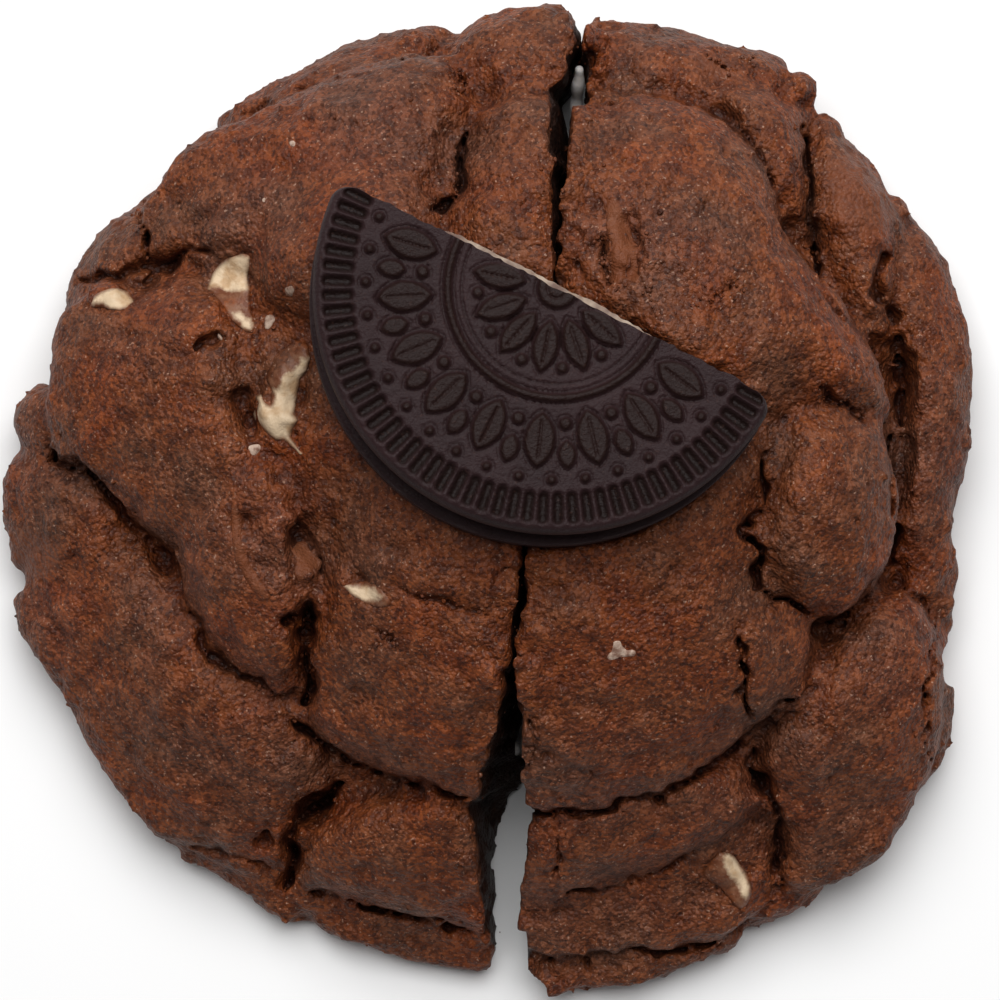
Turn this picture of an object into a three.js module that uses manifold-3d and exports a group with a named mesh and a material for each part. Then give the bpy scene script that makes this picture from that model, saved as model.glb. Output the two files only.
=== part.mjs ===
// Stuffed chocolate cookie: a thick domed cookie of folded dough lobes, cut through with a knife into two
// halves that still sit together, with a soft white core, white and milk chocolate chips, and half of a
// dark sandwich biscuit pressed into its top. Millimetres, +Z up. The cookie rests on its flat underside,
// and the middle of its outline on the table is the origin. +Y is the back of the cookie.
import * as THREE from "three";
import { mergeVertices } from "three/addons/utils/BufferGeometryUtils.js";
import Module from "manifold-3d";

const wasm = await Module();
wasm.setup();

// ---- Driving dimensions ----
const DOME = { peak: [6, 9], height: 34, fall: 0.0075 }; // height - fall * distance^2 from the peak
const LEAST_RISE = 2; // a lobe's top is at least this far above its belly
const UNDERSIDE = -2.5; // lobes reach this low, and the table cuts them flat at 0
const CLEARANCE = 0.3; // air between touching pieces
const RELIEF = { height: 0.55, wave: 8 }; // uneven skin of the dough
const LOBE_STEP = 5; // length of one facet along a lobe's outline

// The folds of dough. Each is a pad: edge is its outline seen from above, where it is widest, at the
// height belly; lift is the height of its top against the dome; square is how boxy its shoulders are.
const LOBES = [
  { name: "base", lift: -8, belly: 5, square: 2.6, edge: [
    [-42.5, 2.5], [-40, 22.5], [-25.5, 37], [-6.5, 44.5], [11.5, 44], [28, 38.5], [39.5, 24], [41.5, 8],
    [41.5, -11.5], [37, -33.5], [21.5, -43], [3.5, -45], [-15.5, -41], [-33.5, -29.5],
    [-42.5, -14.5]] },
  { name: "crown_base", lift: -3.5, belly: 11, square: 3, edge: [
    [-38, 11], [-31, 24], [-12, 38], [8, 42], [24, 34], [33, 16], [36.5, -3], [27, -18], [6, -26],
    [-15, -21], [-26, -10], [-35, 2]] },
  { name: "crown_front", lift: 0, belly: 16, square: 3.2, edge: [
    [-17.5, -9.5], [-18, -21], [-13.5, -24.5], [-4.5, -28], [7, -30], [17, -28.5], [25, -22.5],
    [30.5, -19], [32.5, -11.5], [29.5, -8.5], [28, -1.5], [30.5, 8], [11, 18], [-10, 13],
    [-16.5, 3]] },
  { name: "crown_left_front", lift: -0.8, belly: 15, square: 3, edge: [
    [-30.5, -4], [-29, -10.5], [-25.5, -15.5], [-18.5, -19.5], [-16.5, -11.5], [-14.5, 1],
    [-20, 9], [-29, 5]] },
  { name: "crown_left", lift: -0.6, belly: 14, square: 3, edge: [
    [-42.5, 13.5], [-41, 20], [-32.5, 21], [-26.5, 23.5], [-23, 17], [-22, 10], [-19, 3],
    [-20, -5], [-28, -6], [-33, -3], [-38, 3], [-42, 4.5]] },
  { name: "crown_back_left", lift: -1.8, belly: 14, square: 3, edge: [
    [-33, 23.5], [-33.5, 29], [-27.5, 35.5], [-19.5, 39.5], [-11.5, 43], [-4, 44], [-0.5, 40],
    [-2.5, 31.5], [-1.5, 17], [-13, 13], [-22, 19], [-26.5, 23.5]] },
  { name: "crown_back_swell", lift: 1.4, belly: 16, square: 2.6, edge: [
    [-17, 16], [-22.5, 19], [-23, 24], [-20.5, 30], [-14, 34], [-6, 34], [-3, 28], [-1.5, 17],
    [-8, 10]] },
  { name: "crown_back_middle", lift: -0.8, belly: 15, square: 3.4, edge: [
    [-2.5, 32.5], [-0.5, 37.5], [5.5, 40.5], [11, 38.5], [12, 29.5], [10, 20], [1.5, 15],
    [-4.5, 24]] },
  { name: "crown_back_top", lift: -5.5, belly: 9, square: 3, edge: [
    [-4, 45], [-1.5, 47], [3.5, 48.8], [9, 48.4], [12, 46], [12, 41.5], [7.5, 38.5], [1.5, 38],
    [-2, 39]] },
  { name: "crown_right", lift: 0, belly: 16, square: 3, edge: [
    [4, 23.5], [6, 34.5], [10.5, 38.5], [17.5, 40], [24, 37], [27.5, 31.5], [29, 26], [32, 22.5],
    [37, 15.5], [39.5, 7], [34.5, 9.5], [28.5, 6], [11, 8]] },
  { name: "crown_side", lift: -0.3, belly: 15, square: 3, edge: [
    [26, 3.5], [29, 10], [34.5, 10.5], [38.5, 7.5], [40, 1.5], [39.5, -5.5], [36.5, -9.5],
    [33, -12], [27, -10], [25, -4.5]] },
  { name: "skirt_left", lift: -3, belly: 6, square: 2.9, edge: [
    [-47, -10], [-46, -13.5], [-41.5, -19.5], [-38.5, -26], [-33.5, -32], [-27, -35.5],
    [-20, -37.5], [-18.5, -33], [-14, -28.5], [-15.5, -19.5], [-26.5, -9.5], [-36.5, -0.5],
    [-44, -5.5]] },
  { name: "skirt_left_back", lift: -3.5, belly: 5, square: 2.5, edge: [
    [-47, 6.5], [-48, 0], [-47.5, -5], [-45.5, -8], [-40.5, -11.5], [-33.5, -9.5], [-33.5, -0.5],
    [-39.5, 4.5], [-43.5, 6.5]] },
  { name: "rim_left", lift: -3.5, belly: 5, square: 2.2, edge: [
    [-46, 11], [-44, 12.5], [-40.5, 10.5], [-40, 6.5], [-44, 4], [-46.5, 6], [-47, 8.5]] },
  { name: "rim_left_back", lift: -4, belly: 6, square: 2.4, edge: [
    [-42, 17.5], [-41.5, 21], [-39, 26], [-34.5, 30], [-30.5, 28.5], [-29.5, 24], [-33, 20],
    [-38.5, 17.5]] },
  { name: "rim_back_left", lift: -9, belly: 3.5, square: 2.3, edge: [
    [-28, 36.5], [-25.5, 39.5], [-18.5, 43], [-13.5, 46], [-8.5, 47], [-3.5, 47.5], [-1.5, 43.5],
    [-8.5, 40.5], [-18.5, 37.5], [-26, 34.5]] },
  { name: "skirt_front_left", lift: -3.4, belly: 7, square: 3.4, edge: [
    [-18, -34.5], [-16, -31], [-11.5, -28.5], [-0.5, -27.5], [3.5, -34.5], [2, -42], [-4.5, -41.5],
    [-11.5, -39.5], [-18, -38]] },
  { name: "skirt_front", lift: -3.6, belly: 8, square: 2.8, edge: [
    [1, -30], [11.5, -26.5], [25, -23.5], [28.5, -29.5], [25.5, -32], [21, -34.5], [15, -36.5],
    [7.5, -38.5], [1, -38.5]] },
  { name: "skirt_front_foot", lift: -6.4, belly: 7, square: 2.9, edge: [
    [0.5, -35.5], [11.5, -32.5], [25, -28.5], [29.5, -33], [28, -38], [25.5, -42], [19, -44],
    [10.5, -45], [1, -44]] },
  { name: "skirt_right", lift: -3.4, belly: 8, square: 2.8, edge: [
    [26, -24], [31, -15.5], [36, -10], [39.5, -7.5], [43.5, -9.5], [45, -15], [45, -21],
    [43.5, -27], [39.5, -33.5], [34.5, -37.5], [30, -38], [29.5, -33], [27, -29]] },
  { name: "lip_left", lift: -10, belly: 3, square: 2.3, edge: [
    [-33.5, -31.5], [-30, -35.5], [-23.5, -39], [-18.5, -42], [-16, -39.5], [-18.5, -35.5],
    [-28.5, -31.5]] },
  { name: "lip_front_left", lift: -8.5, belly: 3, square: 2.4, edge: [
    [-20, -38], [-17.5, -42], [-12.5, -44], [-5.5, -46], [1.5, -46], [3, -42.5], [-4.5, -38.5],
    [-14.5, -37.5]] },
  { name: "lip_front", lift: -9, belly: 4, square: 2.4, edge: [
    [1, -44], [3, -47.7], [7.5, -48.7], [13.5, -48.2], [20.5, -46], [26, -43], [23.5, -39.5],
    [11.5, -40.5], [2.5, -41.5]] },
  { name: "lip_right", lift: -9, belly: 4, square: 2.3, edge: [
    [43.5, -9.5], [46, -13.5], [46.5, -19.5], [46, -24.5], [43.5, -28.5], [40.5, -28.5],
    [40.5, -14.5]] },
  { name: "rim_back_right", lift: -8.5, belly: 6, square: 2.5, edge: [
    [9.5, 47.5], [16.5, 47.5], [23, 46], [27.5, 45], [31, 43], [30, 37], [25, 35], [16.5, 38],
    [9.5, 39]] },
  { name: "rim_right_fold", lift: -6.5, belly: 8, square: 2.3, edge: [
    [20, 44], [24.5, 43.5], [27.5, 41.5], [31, 39.5], [32, 32], [32, 24], [29.5, 25], [27, 31],
    [24.5, 37], [20, 40]] },
  { name: "rim_right_back", lift: -8, belly: 6, square: 2.5, edge: [
    [31.5, 37], [34, 39], [36.5, 35], [41, 29.5], [40.5, 25], [40, 18.5], [41.5, 14], [40, 11.5],
    [36, 17.5], [32.5, 23]] },
  { name: "rim_right", lift: -10.5, belly: 5.5, square: 2.5, edge: [
    [41, 30], [45, 25.5], [47.5, 20.5], [48, 11.5], [47.5, 3.5], [46, -2.5], [44, -9.5],
    [41, -9.5], [41, 0.5], [41.5, 10.5], [41.5, 16], [39, 22], [39.5, 26]] },
  { name: "rim_right_low", lift: -12, belly: 4.5, square: 2.2, edge: [
    [41.5, -3.5], [46, -1.5], [46.5, -7.5], [46, -13.5], [42.5, -14.5], [41, -9.5]] },
];

// The knife cut, from the back to the front. At each y: the two edges of the cut on the surface, and the
// height of that surface. The cut leans, so lower down it lies further to the right.
const CUT_SLANT = 0.12;
const CUT = [
  { y: 60, left: 9.6, right: 10.4, surface: 10 },
  { y: 46.3, left: 8.7, right: 9.6, surface: 14 },
  { y: 43.8, left: 8.4, right: 9.9, surface: 17 },
  { y: 40.2, left: 7.2, right: 9.9, surface: 21 },
  { y: 37.5, left: 5.9, right: 8.4, surface: 25 },
  { y: 33.5, left: 6.2, right: 7.9, surface: 28 },
  { y: 29.7, left: 6, right: 7.2, surface: 30 },
  { y: 22.5, left: 6.2, right: 6.8, surface: 32 },
  { y: 9.8, left: 4.7, right: 5.3, surface: 34 },
  { y: -3.8, left: 3.2, right: 3.8, surface: 32 },
  { y: -11.9, left: 2.5, right: 3.3, surface: 30 },
  { y: -16.2, left: 1.7, right: 3.1, surface: 29 },
  { y: -20, left: 1, right: 3.2, surface: 27 },
  { y: -23.5, left: 0.2, right: 3.3, surface: 25 },
  { y: -27.4, left: -0.5, right: 3.7, surface: 22 },
  { y: -29.6, left: -2.1, right: 4.2, surface: 18 },
  { y: -33.6, left: -1.1, right: 3.7, surface: 16 },
  { y: -40.7, left: -0.4, right: 3.3, surface: 13 },
  { y: -60, left: 0.4, right: 3.1, surface: 8 },
];

// Deep cracks in the crust: a route seen from above, the widest opening, and how far down it goes.
const CRACKS = [
  { route: [[-19.3, -11], [-17.6, -11.2], [-17.2, -12.9], [-17.1, -15.3], [-16.6, -17.7], [-17.4, -20]],
    width: 1.2, depth: 5 },
  { route: [[-1.5, 35.2], [-2.2, 33.7], [-2.7, 32], [-2.4, 30.7], [-2.9, 29.3], [-3.8, 28]],
    width: 0.8, depth: 4 },
  { route: [[23.8, -11.8], [24.4, -13.7], [24.5, -16.3], [24.3, -17.7], [25.2, -20]],
    width: 0.8, depth: 4 },
];

// Pits where the dough tore open: place, half widths, turn in degrees and depth.
const PITS = [
  { at: [-22.4, 8.4], half: [0.9, 1.7], turn: 10, depth: 2.5 },
  { at: [-17, -29.8], half: [2.6, 2], turn: 35, depth: 6 },
  { at: [-19, -34.4], half: [1, 1.7], turn: 5, depth: 6 },
  { at: [27, -27.4], half: [1.6, 1.2], turn: 0, depth: 5 },
];

// White and milk chocolate chips: place, half sizes, turn, and how much of the chip shows.
const WHITE_CHIPS = [
  { name: "white_chip_left_back", at: [-24.6, 22.6], half: [2, 1.9, 2], turn: 0, proud: 1.1 },
  { name: "white_chip_left_edge", at: [-36.2, 19.9], half: [2.1, 1.3, 1.6], turn: 0, proud: 0.9 },
  { name: "white_chip_by_biscuit", at: [-19.7, 9.8], half: [2, 5.4, 2.6], turn: -22, proud: 1.6 },
  { name: "white_chip_front_left", at: [-11.3, -8.2], half: [3.2, 1.1, 1.5], turn: -27, proud: 0.6 },
  { name: "white_chip_front", at: [24.9, -36.8], half: [1.1, 3, 1.6], turn: 22, proud: 0.8 },
];
const MILK_CHIPS = [
  { name: "milk_chip_back", at: [12.7, 25.6], half: [1, 4.2, 1.6], turn: 8, proud: 0.35 },
  { name: "milk_chip_left", at: [-23, -4.2], half: [1.1, 4, 1.6], turn: 12, proud: 0.35 },
  { name: "milk_chip_left_front", at: [-17.6, -5.4], half: [1.3, 2.8, 1.6], turn: 10, proud: 0.3 },
];

// The soft white core that shows on the faces of the cut.
const CORE = { at: [4, -2.5], half: [21, 22, 4.5], height: 9 };

// The half sandwich biscuit: two wafers with cream between, cut along its middle.
const BISCUIT = {
  radius: 22.5,
  wafer: 3.1,
  cream: 2,
  creamInset: 1.1,
  creamProud: 0.4,
  lowerShift: 0.7,
  place: [7.1, 19.5, 29.8],
  turn: -26.85,
  tilt: 4.5,
};
const FLUTE = { count: 47, length: 2.7, width: 0.75, depth: 0.5, inset: 0.9 };
const RING = { radius: 10.2, width: 0.8, height: 0.45 };
const LEAF = { count: 9, radius: 14, half: [0.95, 2.2, 0.5] };
const ROSETTE = { count: 6, radius: 5.6, half: [0.8, 2.1, 0.5], boss: 1.7 };

const COLOURS = {
  dough: new THREE.MeshStandardMaterial({ color: 0x6b4230, roughness: 0.85, metalness: 0 }),
  wafer: new THREE.MeshStandardMaterial({ color: 0x33282a, roughness: 0.6, metalness: 0 }),
  cream: new THREE.MeshStandardMaterial({ color: 0xf0e6d6, roughness: 0.6, metalness: 0 }),
  core: new THREE.MeshStandardMaterial({ color: 0xe9e4e2, roughness: 0.6, metalness: 0 }),
  whiteChip: new THREE.MeshStandardMaterial({ color: 0xe8cfa0, roughness: 0.5, metalness: 0 }),
  milkChip: new THREE.MeshStandardMaterial({ color: 0x7a4b35, roughness: 0.4, metalness: 0 }),
};

// ---- Helpers: solids from geometry and back ----
function solid(geometry) {
  const bare = geometry.clone();
  bare.deleteAttribute("normal");
  bare.deleteAttribute("uv");
  const merged = mergeVertices(bare, 1e-4);
  return new wasm.Manifold(
    new wasm.Mesh({
      numProp: 3,
      vertProperties: new Float32Array(merged.attributes.position.array),
      triVerts: new Uint32Array(merged.index.array),
    }),
  );
}

function geometryOf(shape) {
  const { numProp, vertProperties, triVerts } = shape.getMesh();
  const corners = new Float32Array((vertProperties.length / numProp) * 3);
  for (let i = 0; i < corners.length / 3; i += 1) {
    corners.set(vertProperties.subarray(i * numProp, i * numProp + 3), i * 3);
  }
  return new THREE.BufferGeometry()
    .setAttribute("position", new THREE.BufferAttribute(corners, 3))
    .setIndex(new THREE.BufferAttribute(new Uint32Array(triVerts), 1));
}

function mesh(name, shape, material) {
  const made = new THREE.Mesh(geometryOf(shape), material);
  made.name = name;
  return made;
}

// The largest closed body of a shape, without loose scraps or hollows that its surface seals in.
function mainBody(shape) {
  return shape.decompose().reduce((best, next) => (next.volume() > best.volume() ? next : best));
}

// Moves each corner of a geometry by a rule that takes and returns a Vector3.
function reshape(geometry, rule) {
  const corners = geometry.attributes.position;
  for (let i = 0; i < corners.count; i += 1) {
    const moved = rule(new THREE.Vector3().fromBufferAttribute(corners, i));
    corners.setXYZ(i, moved.x, moved.y, moved.z);
  }
  return geometry;
}

// ---- Uneven skin: smooth noise from a hash of whole-number places ----
function hash(i, j) {
  const wave = Math.sin(i * 127.1 + j * 311.7) * 43758.5453;
  return wave - Math.floor(wave);
}

function unevenness(x, y) {
  const i = Math.floor(x);
  const j = Math.floor(y);
  const u = THREE.MathUtils.smoothstep(x - i, 0, 1);
  const v = THREE.MathUtils.smoothstep(y - j, 0, 1);
  const near = THREE.MathUtils.lerp(hash(i, j), hash(i + 1, j), u);
  const far = THREE.MathUtils.lerp(hash(i, j + 1), hash(i + 1, j + 1), u);
  return THREE.MathUtils.lerp(near, far, v) * 2 - 1;
}

function domeHeight(x, y) {
  const [peakX, peakY] = DOME.peak;
  return DOME.height - DOME.fall * ((x - peakX) ** 2 + (y - peakY) ** 2);
}

// ---- Dough ----
// A pad over a closed outline: a ball whose every circle is stretched to the outline.
function lobe({ edge, lift, belly, square }) {
  const points = edge.map(([x, y]) => new THREE.Vector2(x, y));
  if (THREE.ShapeUtils.isClockWise(points)) points.reverse();
  const corners = points.map((p) => new THREE.Vector3(p.x, p.y, 0));
  const outline = new THREE.CatmullRomCurve3(corners, true, "centripetal");
  const centre = corners.reduce((sum, p) => sum.add(p), new THREE.Vector3()).divideScalar(corners.length);
  const around = THREE.MathUtils.clamp(Math.round(outline.getLength() / LOBE_STEP), 11, 30);
  const down = Math.max(8, Math.round(around * 0.45));
  const ball = new THREE.SphereGeometry(1, around, down).rotateX(Math.PI / 2);
  return reshape(ball, ({ x, y, z }) => {
    const turn = (Math.atan2(y, x) / (2 * Math.PI) + 1) % 1;
    const reach = Math.min(1, Math.hypot(x, y)) ** (2 / square);
    const place = centre.clone().lerp(outline.getPointAt(turn), reach);
    const level = Math.abs(z) ** (2 / square);
    const rise = Math.max(domeHeight(place.x, place.y) + lift - belly, LEAST_RISE);
    const skin = RELIEF.height * unevenness(place.x / RELIEF.wave, place.y / RELIEF.wave);
    place.z = z > 0 ? belly + (rise + skin) * level : belly + (UNDERSIDE - belly) * level;
    return place;
  });
}

// A block over everything above the table.
function aboveTable() {
  const size = 150;
  return solid(new THREE.BoxGeometry(size, size, size).translate(0, 0, size / 2));
}

function cutSurface(y) {
  const next = CUT.findIndex((row) => row.y <= y + 1e-3);
  if (next <= 0) return CUT[next < 0 ? CUT.length - 1 : 0].surface;
  const after = CUT[next];
  const before = CUT[next - 1];
  return THREE.MathUtils.mapLinear(y, before.y, after.y, before.surface, after.surface);
}

// Everything on one side of the knife cut; side is -1 for the left half and 1 for the right half.
function sideOfCut(side) {
  const far = 80 * side;
  const face = CUT.map((row) => new THREE.Vector2(side < 0 ? row.left : row.right, row.y));
  const corners = [...face, new THREE.Vector2(far, face.at(-1).y), new THREE.Vector2(far, face[0].y)];
  const block = new THREE.ExtrudeGeometry(new THREE.Shape(corners), { depth: 70, bevelEnabled: false });
  block.translate(0, 0, -5);
  return solid(
    reshape(block, (p) => {
      p.x += CUT_SLANT * (cutSurface(p.y) - p.z);
      return p;
    }),
  );
}

const ray = new THREE.Raycaster();
const DOWN = new THREE.Vector3(0, 0, -1);

// Height of a shape's surface at a place seen from above.
function heightOn(body, x, y) {
  ray.set(new THREE.Vector3(x, y, 100), DOWN);
  return ray.intersectObject(body)[0].point.z;
}

// A thin wedge along a route, widest in its middle and pointed at its ends.
function crack({ route, width, depth }, body) {
  const line = new THREE.SplineCurve(route.map(([x, y]) => new THREE.Vector2(x, y)));
  const steps = route.length * 2;
  const sides = [[], []];
  for (let i = 0; i <= steps; i += 1) {
    const along = i / steps;
    const point = line.getPoint(along);
    const tangent = line.getTangent(along);
    const open = (width / 2) * Math.sin(Math.PI * Math.min(0.97, Math.max(0.03, along))) ** 0.5;
    sides[0].push(new THREE.Vector2(point.x - tangent.y * open, point.y + tangent.x * open));
    sides[1].unshift(new THREE.Vector2(point.x + tangent.y * open, point.y - tangent.x * open));
  }
  const middle = line.getPoint(0.5);
  const top = heightOn(body, middle.x, middle.y);
  const shape = new THREE.Shape([...sides[0], ...sides[1]]);
  const wedge = new THREE.ExtrudeGeometry(shape, { depth: depth + 8, bevelEnabled: false });
  return solid(wedge.translate(0, 0, top - depth));
}

function ellipsoid(half, around, down) {
  return new THREE.SphereGeometry(1, around, down).rotateX(Math.PI / 2).scale(...half);
}

function pit({ at, half, turn, depth }, body) {
  const hollow = ellipsoid([half[0], half[1], depth], 10, 6);
  hollow.rotateZ(THREE.MathUtils.degToRad(turn));
  return solid(hollow.translate(at[0], at[1], heightOn(body, at[0], at[1])));
}

// A chip: a rounded, slightly lumpy morsel half sunk in the dough. grow makes its pocket.
function chip({ at, half, turn, proud }, body, grow) {
  const morsel = ellipsoid([1, 1, 1], 9, 6);
  reshape(morsel, (p) => {
    const lump = 1 + 0.1 * unevenness(p.x * 1.7 + at[0], p.y * 1.7 + p.z + at[1]);
    return p.multiplyScalar(lump).multiply(new THREE.Vector3(...half.map((h) => h + grow)));
  });
  morsel.rotateZ(THREE.MathUtils.degToRad(turn));
  const level = heightOn(body, at[0], at[1]) + proud - half[2];
  return solid(morsel.translate(at[0], at[1], level));
}

// ---- Sandwich biscuit, in its own frame: the cut edge along X, the round side towards -Y ----
function halfDisc(radius, back, thickness, base) {
  const outline = new THREE.Shape();
  outline.moveTo(-radius, back);
  outline.lineTo(-radius, 0);
  outline.absarc(0, 0, radius, Math.PI, 2 * Math.PI, false);
  outline.lineTo(radius, back);
  const slab = new THREE.ExtrudeGeometry(outline, {
    depth: thickness,
    bevelEnabled: false,
    curveSegments: 32,
  });
  return slab.translate(0, 0, base);
}

// A wafer with an eased rim: the half disc cut to the inside of a turned profile.
function wafer(base, upper) {
  const { radius, wafer: thickness } = BISCUIT;
  const ease = 0.7;
  const low = base - 0.01;
  const high = base + thickness;
  const profile = upper
    ? [[0, low], [radius, low], [radius, high - ease], [radius - ease, high], [0, high]]
    : [[0, low], [radius - ease, low], [radius, low + ease], [radius, high], [0, high]];
  const turned = new THREE.LatheGeometry(profile.map(([x, y]) => new THREE.Vector2(x, y)), 64);
  turned.rotateX(Math.PI / 2);
  return solid(turned).intersect(solid(halfDisc(radius + 2, 0, thickness + 2, base)));
}

// Places spread over the half circle, from the left end of the cut edge to the right end.
function aroundHalf(count, radius, place) {
  for (let i = 0; i < count; i += 1) {
    const angle = Math.PI + (Math.PI * (i + 0.5)) / count;
    place(Math.cos(angle) * radius, Math.sin(angle) * radius, angle);
  }
}

function petal(half, x, y, angle, level) {
  const leaf = ellipsoid(half, 8, 4).rotateZ(angle - Math.PI / 2);
  return solid(leaf.translate(x, y, level));
}

function topWafer(base) {
  const top = base + BISCUIT.wafer;
  let made = wafer(base, true);
  const fluteRadius = BISCUIT.radius - FLUTE.inset - FLUTE.length / 2;
  aroundHalf(FLUTE.count, fluteRadius, (x, y, angle) => {
    const groove = new THREE.BoxGeometry(FLUTE.length, FLUTE.width, 2 * FLUTE.depth);
    made = made.subtract(solid(groove.rotateZ(angle).translate(x, y, top)));
  });
  aroundHalf(LEAF.count, LEAF.radius, (x, y, angle) => {
    made = made.add(petal(LEAF.half, x, y, angle, top));
  });
  aroundHalf(ROSETTE.count, ROSETTE.radius, (x, y, angle) => {
    made = made.add(petal(ROSETTE.half, x, y, angle, top));
  });
  const { radius, width, height } = RING;
  const section = [
    [radius - width / 2, top - 1], [radius + width / 2, top - 1],
    [radius + width / 2, top + height / 2], [radius, top + height],
    [radius - width / 2, top + height / 2], [radius - width / 2, top - 1],
  ];
  const ring = new THREE.LatheGeometry(section.map(([x, y]) => new THREE.Vector2(x, y)), 48);
  ring.rotateX(Math.PI / 2);
  const boss = solid(ellipsoid([ROSETTE.boss, ROSETTE.boss, height], 12, 6).translate(0, 0, top));
  const front = solid(halfDisc(BISCUIT.radius + 2, 0, 20, base - 5));
  return made.add(solid(ring).intersect(front)).add(boss.intersect(front));
}

const biscuit = new THREE.Group();
biscuit.position.set(...BISCUIT.place);
biscuit.rotation.set(
  THREE.MathUtils.degToRad(-BISCUIT.tilt),
  0,
  THREE.MathUtils.degToRad(BISCUIT.turn),
  "ZXY",
);
biscuit.updateMatrixWorld(true);

const creamBase = BISCUIT.wafer + CLEARANCE;
const topBase = creamBase + BISCUIT.cream + CLEARANCE;
const lowerWafer = mesh("biscuit_wafer_bottom", wafer(0, false), COLOURS.wafer);
lowerWafer.position.set(0, -BISCUIT.lowerShift, 0);
const creamSlab = halfDisc(
  BISCUIT.radius - BISCUIT.creamInset,
  BISCUIT.creamProud,
  BISCUIT.cream,
  creamBase,
);
biscuit.add(
  lowerWafer,
  mesh("biscuit_cream", solid(creamSlab), COLOURS.cream),
  mesh("biscuit_wafer_top", topWafer(topBase), COLOURS.wafer),
);

// The hollow that the biscuit is pressed into, open to the top.
function biscuitPocket() {
  const reach = BISCUIT.radius + BISCUIT.lowerShift + CLEARANCE;
  const block = halfDisc(reach, BISCUIT.creamProud + CLEARANCE, 20, -CLEARANCE);
  return solid(block.applyMatrix4(biscuit.matrixWorld));
}

// ---- Assembly ----
const leftSide = sideOfCut(-1);
const rightSide = sideOfCut(1);
const lump = LOBES.map((row) => solid(lobe(row))).reduce((joined, next) => joined.add(next));
const surface = new THREE.Mesh(geometryOf(lump), COLOURS.dough);

let dough = lump.intersect(aboveTable());
CRACKS.forEach((row) => {
  dough = dough.subtract(crack(row, surface));
});
PITS.forEach((row) => {
  dough = dough.subtract(pit(row, surface));
});

const cookie = new THREE.Group();
[[WHITE_CHIPS, COLOURS.whiteChip], [MILK_CHIPS, COLOURS.milkChip]].forEach(([rows, material]) => {
  rows.forEach((row) => {
    dough = dough.subtract(chip(row, surface, CLEARANCE));
    cookie.add(mesh(row.name, chip(row, surface, 0), material));
  });
});
dough = dough.subtract(biscuitPocket());

const [coreX, coreY] = CORE.at;
const core = (grow) =>
  solid(ellipsoid(CORE.half.map((h) => h + grow), 20, 8).translate(coreX, coreY, CORE.height));
dough = dough.subtract(core(CLEARANCE));

cookie.add(
  mesh("dough_left", mainBody(dough.intersect(leftSide)), COLOURS.dough),
  mesh("dough_right", mainBody(dough.intersect(rightSide)), COLOURS.dough),
  mesh("filling_left", core(0).intersect(leftSide), COLOURS.core),
  mesh("filling_right", core(0).intersect(rightSide), COLOURS.core),
  biscuit,
);

export default cookie;
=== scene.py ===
"""Stuffed chocolate cookie: the looks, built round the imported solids. Lengths are in millimetres until a
mesh is made, and MM turns them into Blender's metres. A place read off the photograph is a pair of its
pixels, which place() turns into millimetres."""
import math

import bmesh
import bpy
import numpy as np
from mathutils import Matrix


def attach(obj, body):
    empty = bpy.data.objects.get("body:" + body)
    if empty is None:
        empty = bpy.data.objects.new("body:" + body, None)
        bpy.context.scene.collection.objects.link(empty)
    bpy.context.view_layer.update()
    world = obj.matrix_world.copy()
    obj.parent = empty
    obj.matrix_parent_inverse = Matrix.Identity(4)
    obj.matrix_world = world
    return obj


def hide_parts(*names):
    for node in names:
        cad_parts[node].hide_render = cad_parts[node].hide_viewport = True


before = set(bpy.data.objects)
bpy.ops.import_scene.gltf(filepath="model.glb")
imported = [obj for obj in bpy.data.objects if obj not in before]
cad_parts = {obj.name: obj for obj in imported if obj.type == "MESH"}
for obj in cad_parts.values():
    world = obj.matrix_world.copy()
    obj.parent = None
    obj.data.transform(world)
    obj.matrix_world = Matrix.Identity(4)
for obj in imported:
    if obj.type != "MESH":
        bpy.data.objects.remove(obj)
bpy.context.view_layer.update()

import openvdb as vdb
from mathutils import Euler, Matrix, Vector
from mathutils.bvhtree import BVHTree

MM = 0.001
BODY = "root"

# ---- The photograph's view: straight down on the cookie ----
PICTURE = 1000
CAMERA_HEIGHT = 500.0
FOCAL_PIXELS = 4978.0
AXIS = (1.4, 0.4)


def place(pixel, height):
    """Millimetres across and back of a photograph's pixel, on something that lies at that height."""
    scale = (CAMERA_HEIGHT - height) / FOCAL_PIXELS
    across = (pixel[0] - PICTURE / 2) * scale + AXIS[0]
    back = (PICTURE / 2 - pixel[1]) * scale + AXIS[1]
    return np.array([across, back])


# ---- Noise that is the same at the same place, whatever asks for it ----
DOMAIN = np.array([[-60.0, -60.0, -15.0], [60.0, 60.0, 55.0]])


def weights(places, low, wave, count):
    """Rows of smooth two-point weights over a lattice of that spacing."""
    spot = (np.asarray(places) - low) / wave
    cell = np.clip(np.floor(spot).astype(int), 0, count - 2)
    part = np.clip(spot - cell, 0, 1)
    part = part * part * (3 - 2 * part)
    rows = np.zeros((len(spot), count), np.float32)
    index = np.arange(len(spot))
    rows[index, cell] = 1 - part
    rows[index, cell + 1] = part
    return rows


def noise(axes, wave, seed):
    """Smooth noise from -1 to 1 over the grid that the axes' places span, two or three of them."""
    sizes = [int((DOMAIN[1][i] - DOMAIN[0][i]) / wave) + 3 for i in range(len(axes))]
    lattice = np.random.default_rng(seed).uniform(-1, 1, sizes).astype(np.float32)
    for i, places in enumerate(axes):
        rows = weights(places, DOMAIN[0][i], wave, sizes[i])
        lattice = np.moveaxis(np.tensordot(rows, lattice, (1, i)), 0, i)
    return lattice


def layered(axes, layers, seed):
    """Layers of noise added up, each of its own wave length and height, with seeds from seed on."""
    return sum(height * noise(axes, wave, seed + k) for k, (wave, height) in enumerate(layers))


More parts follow.
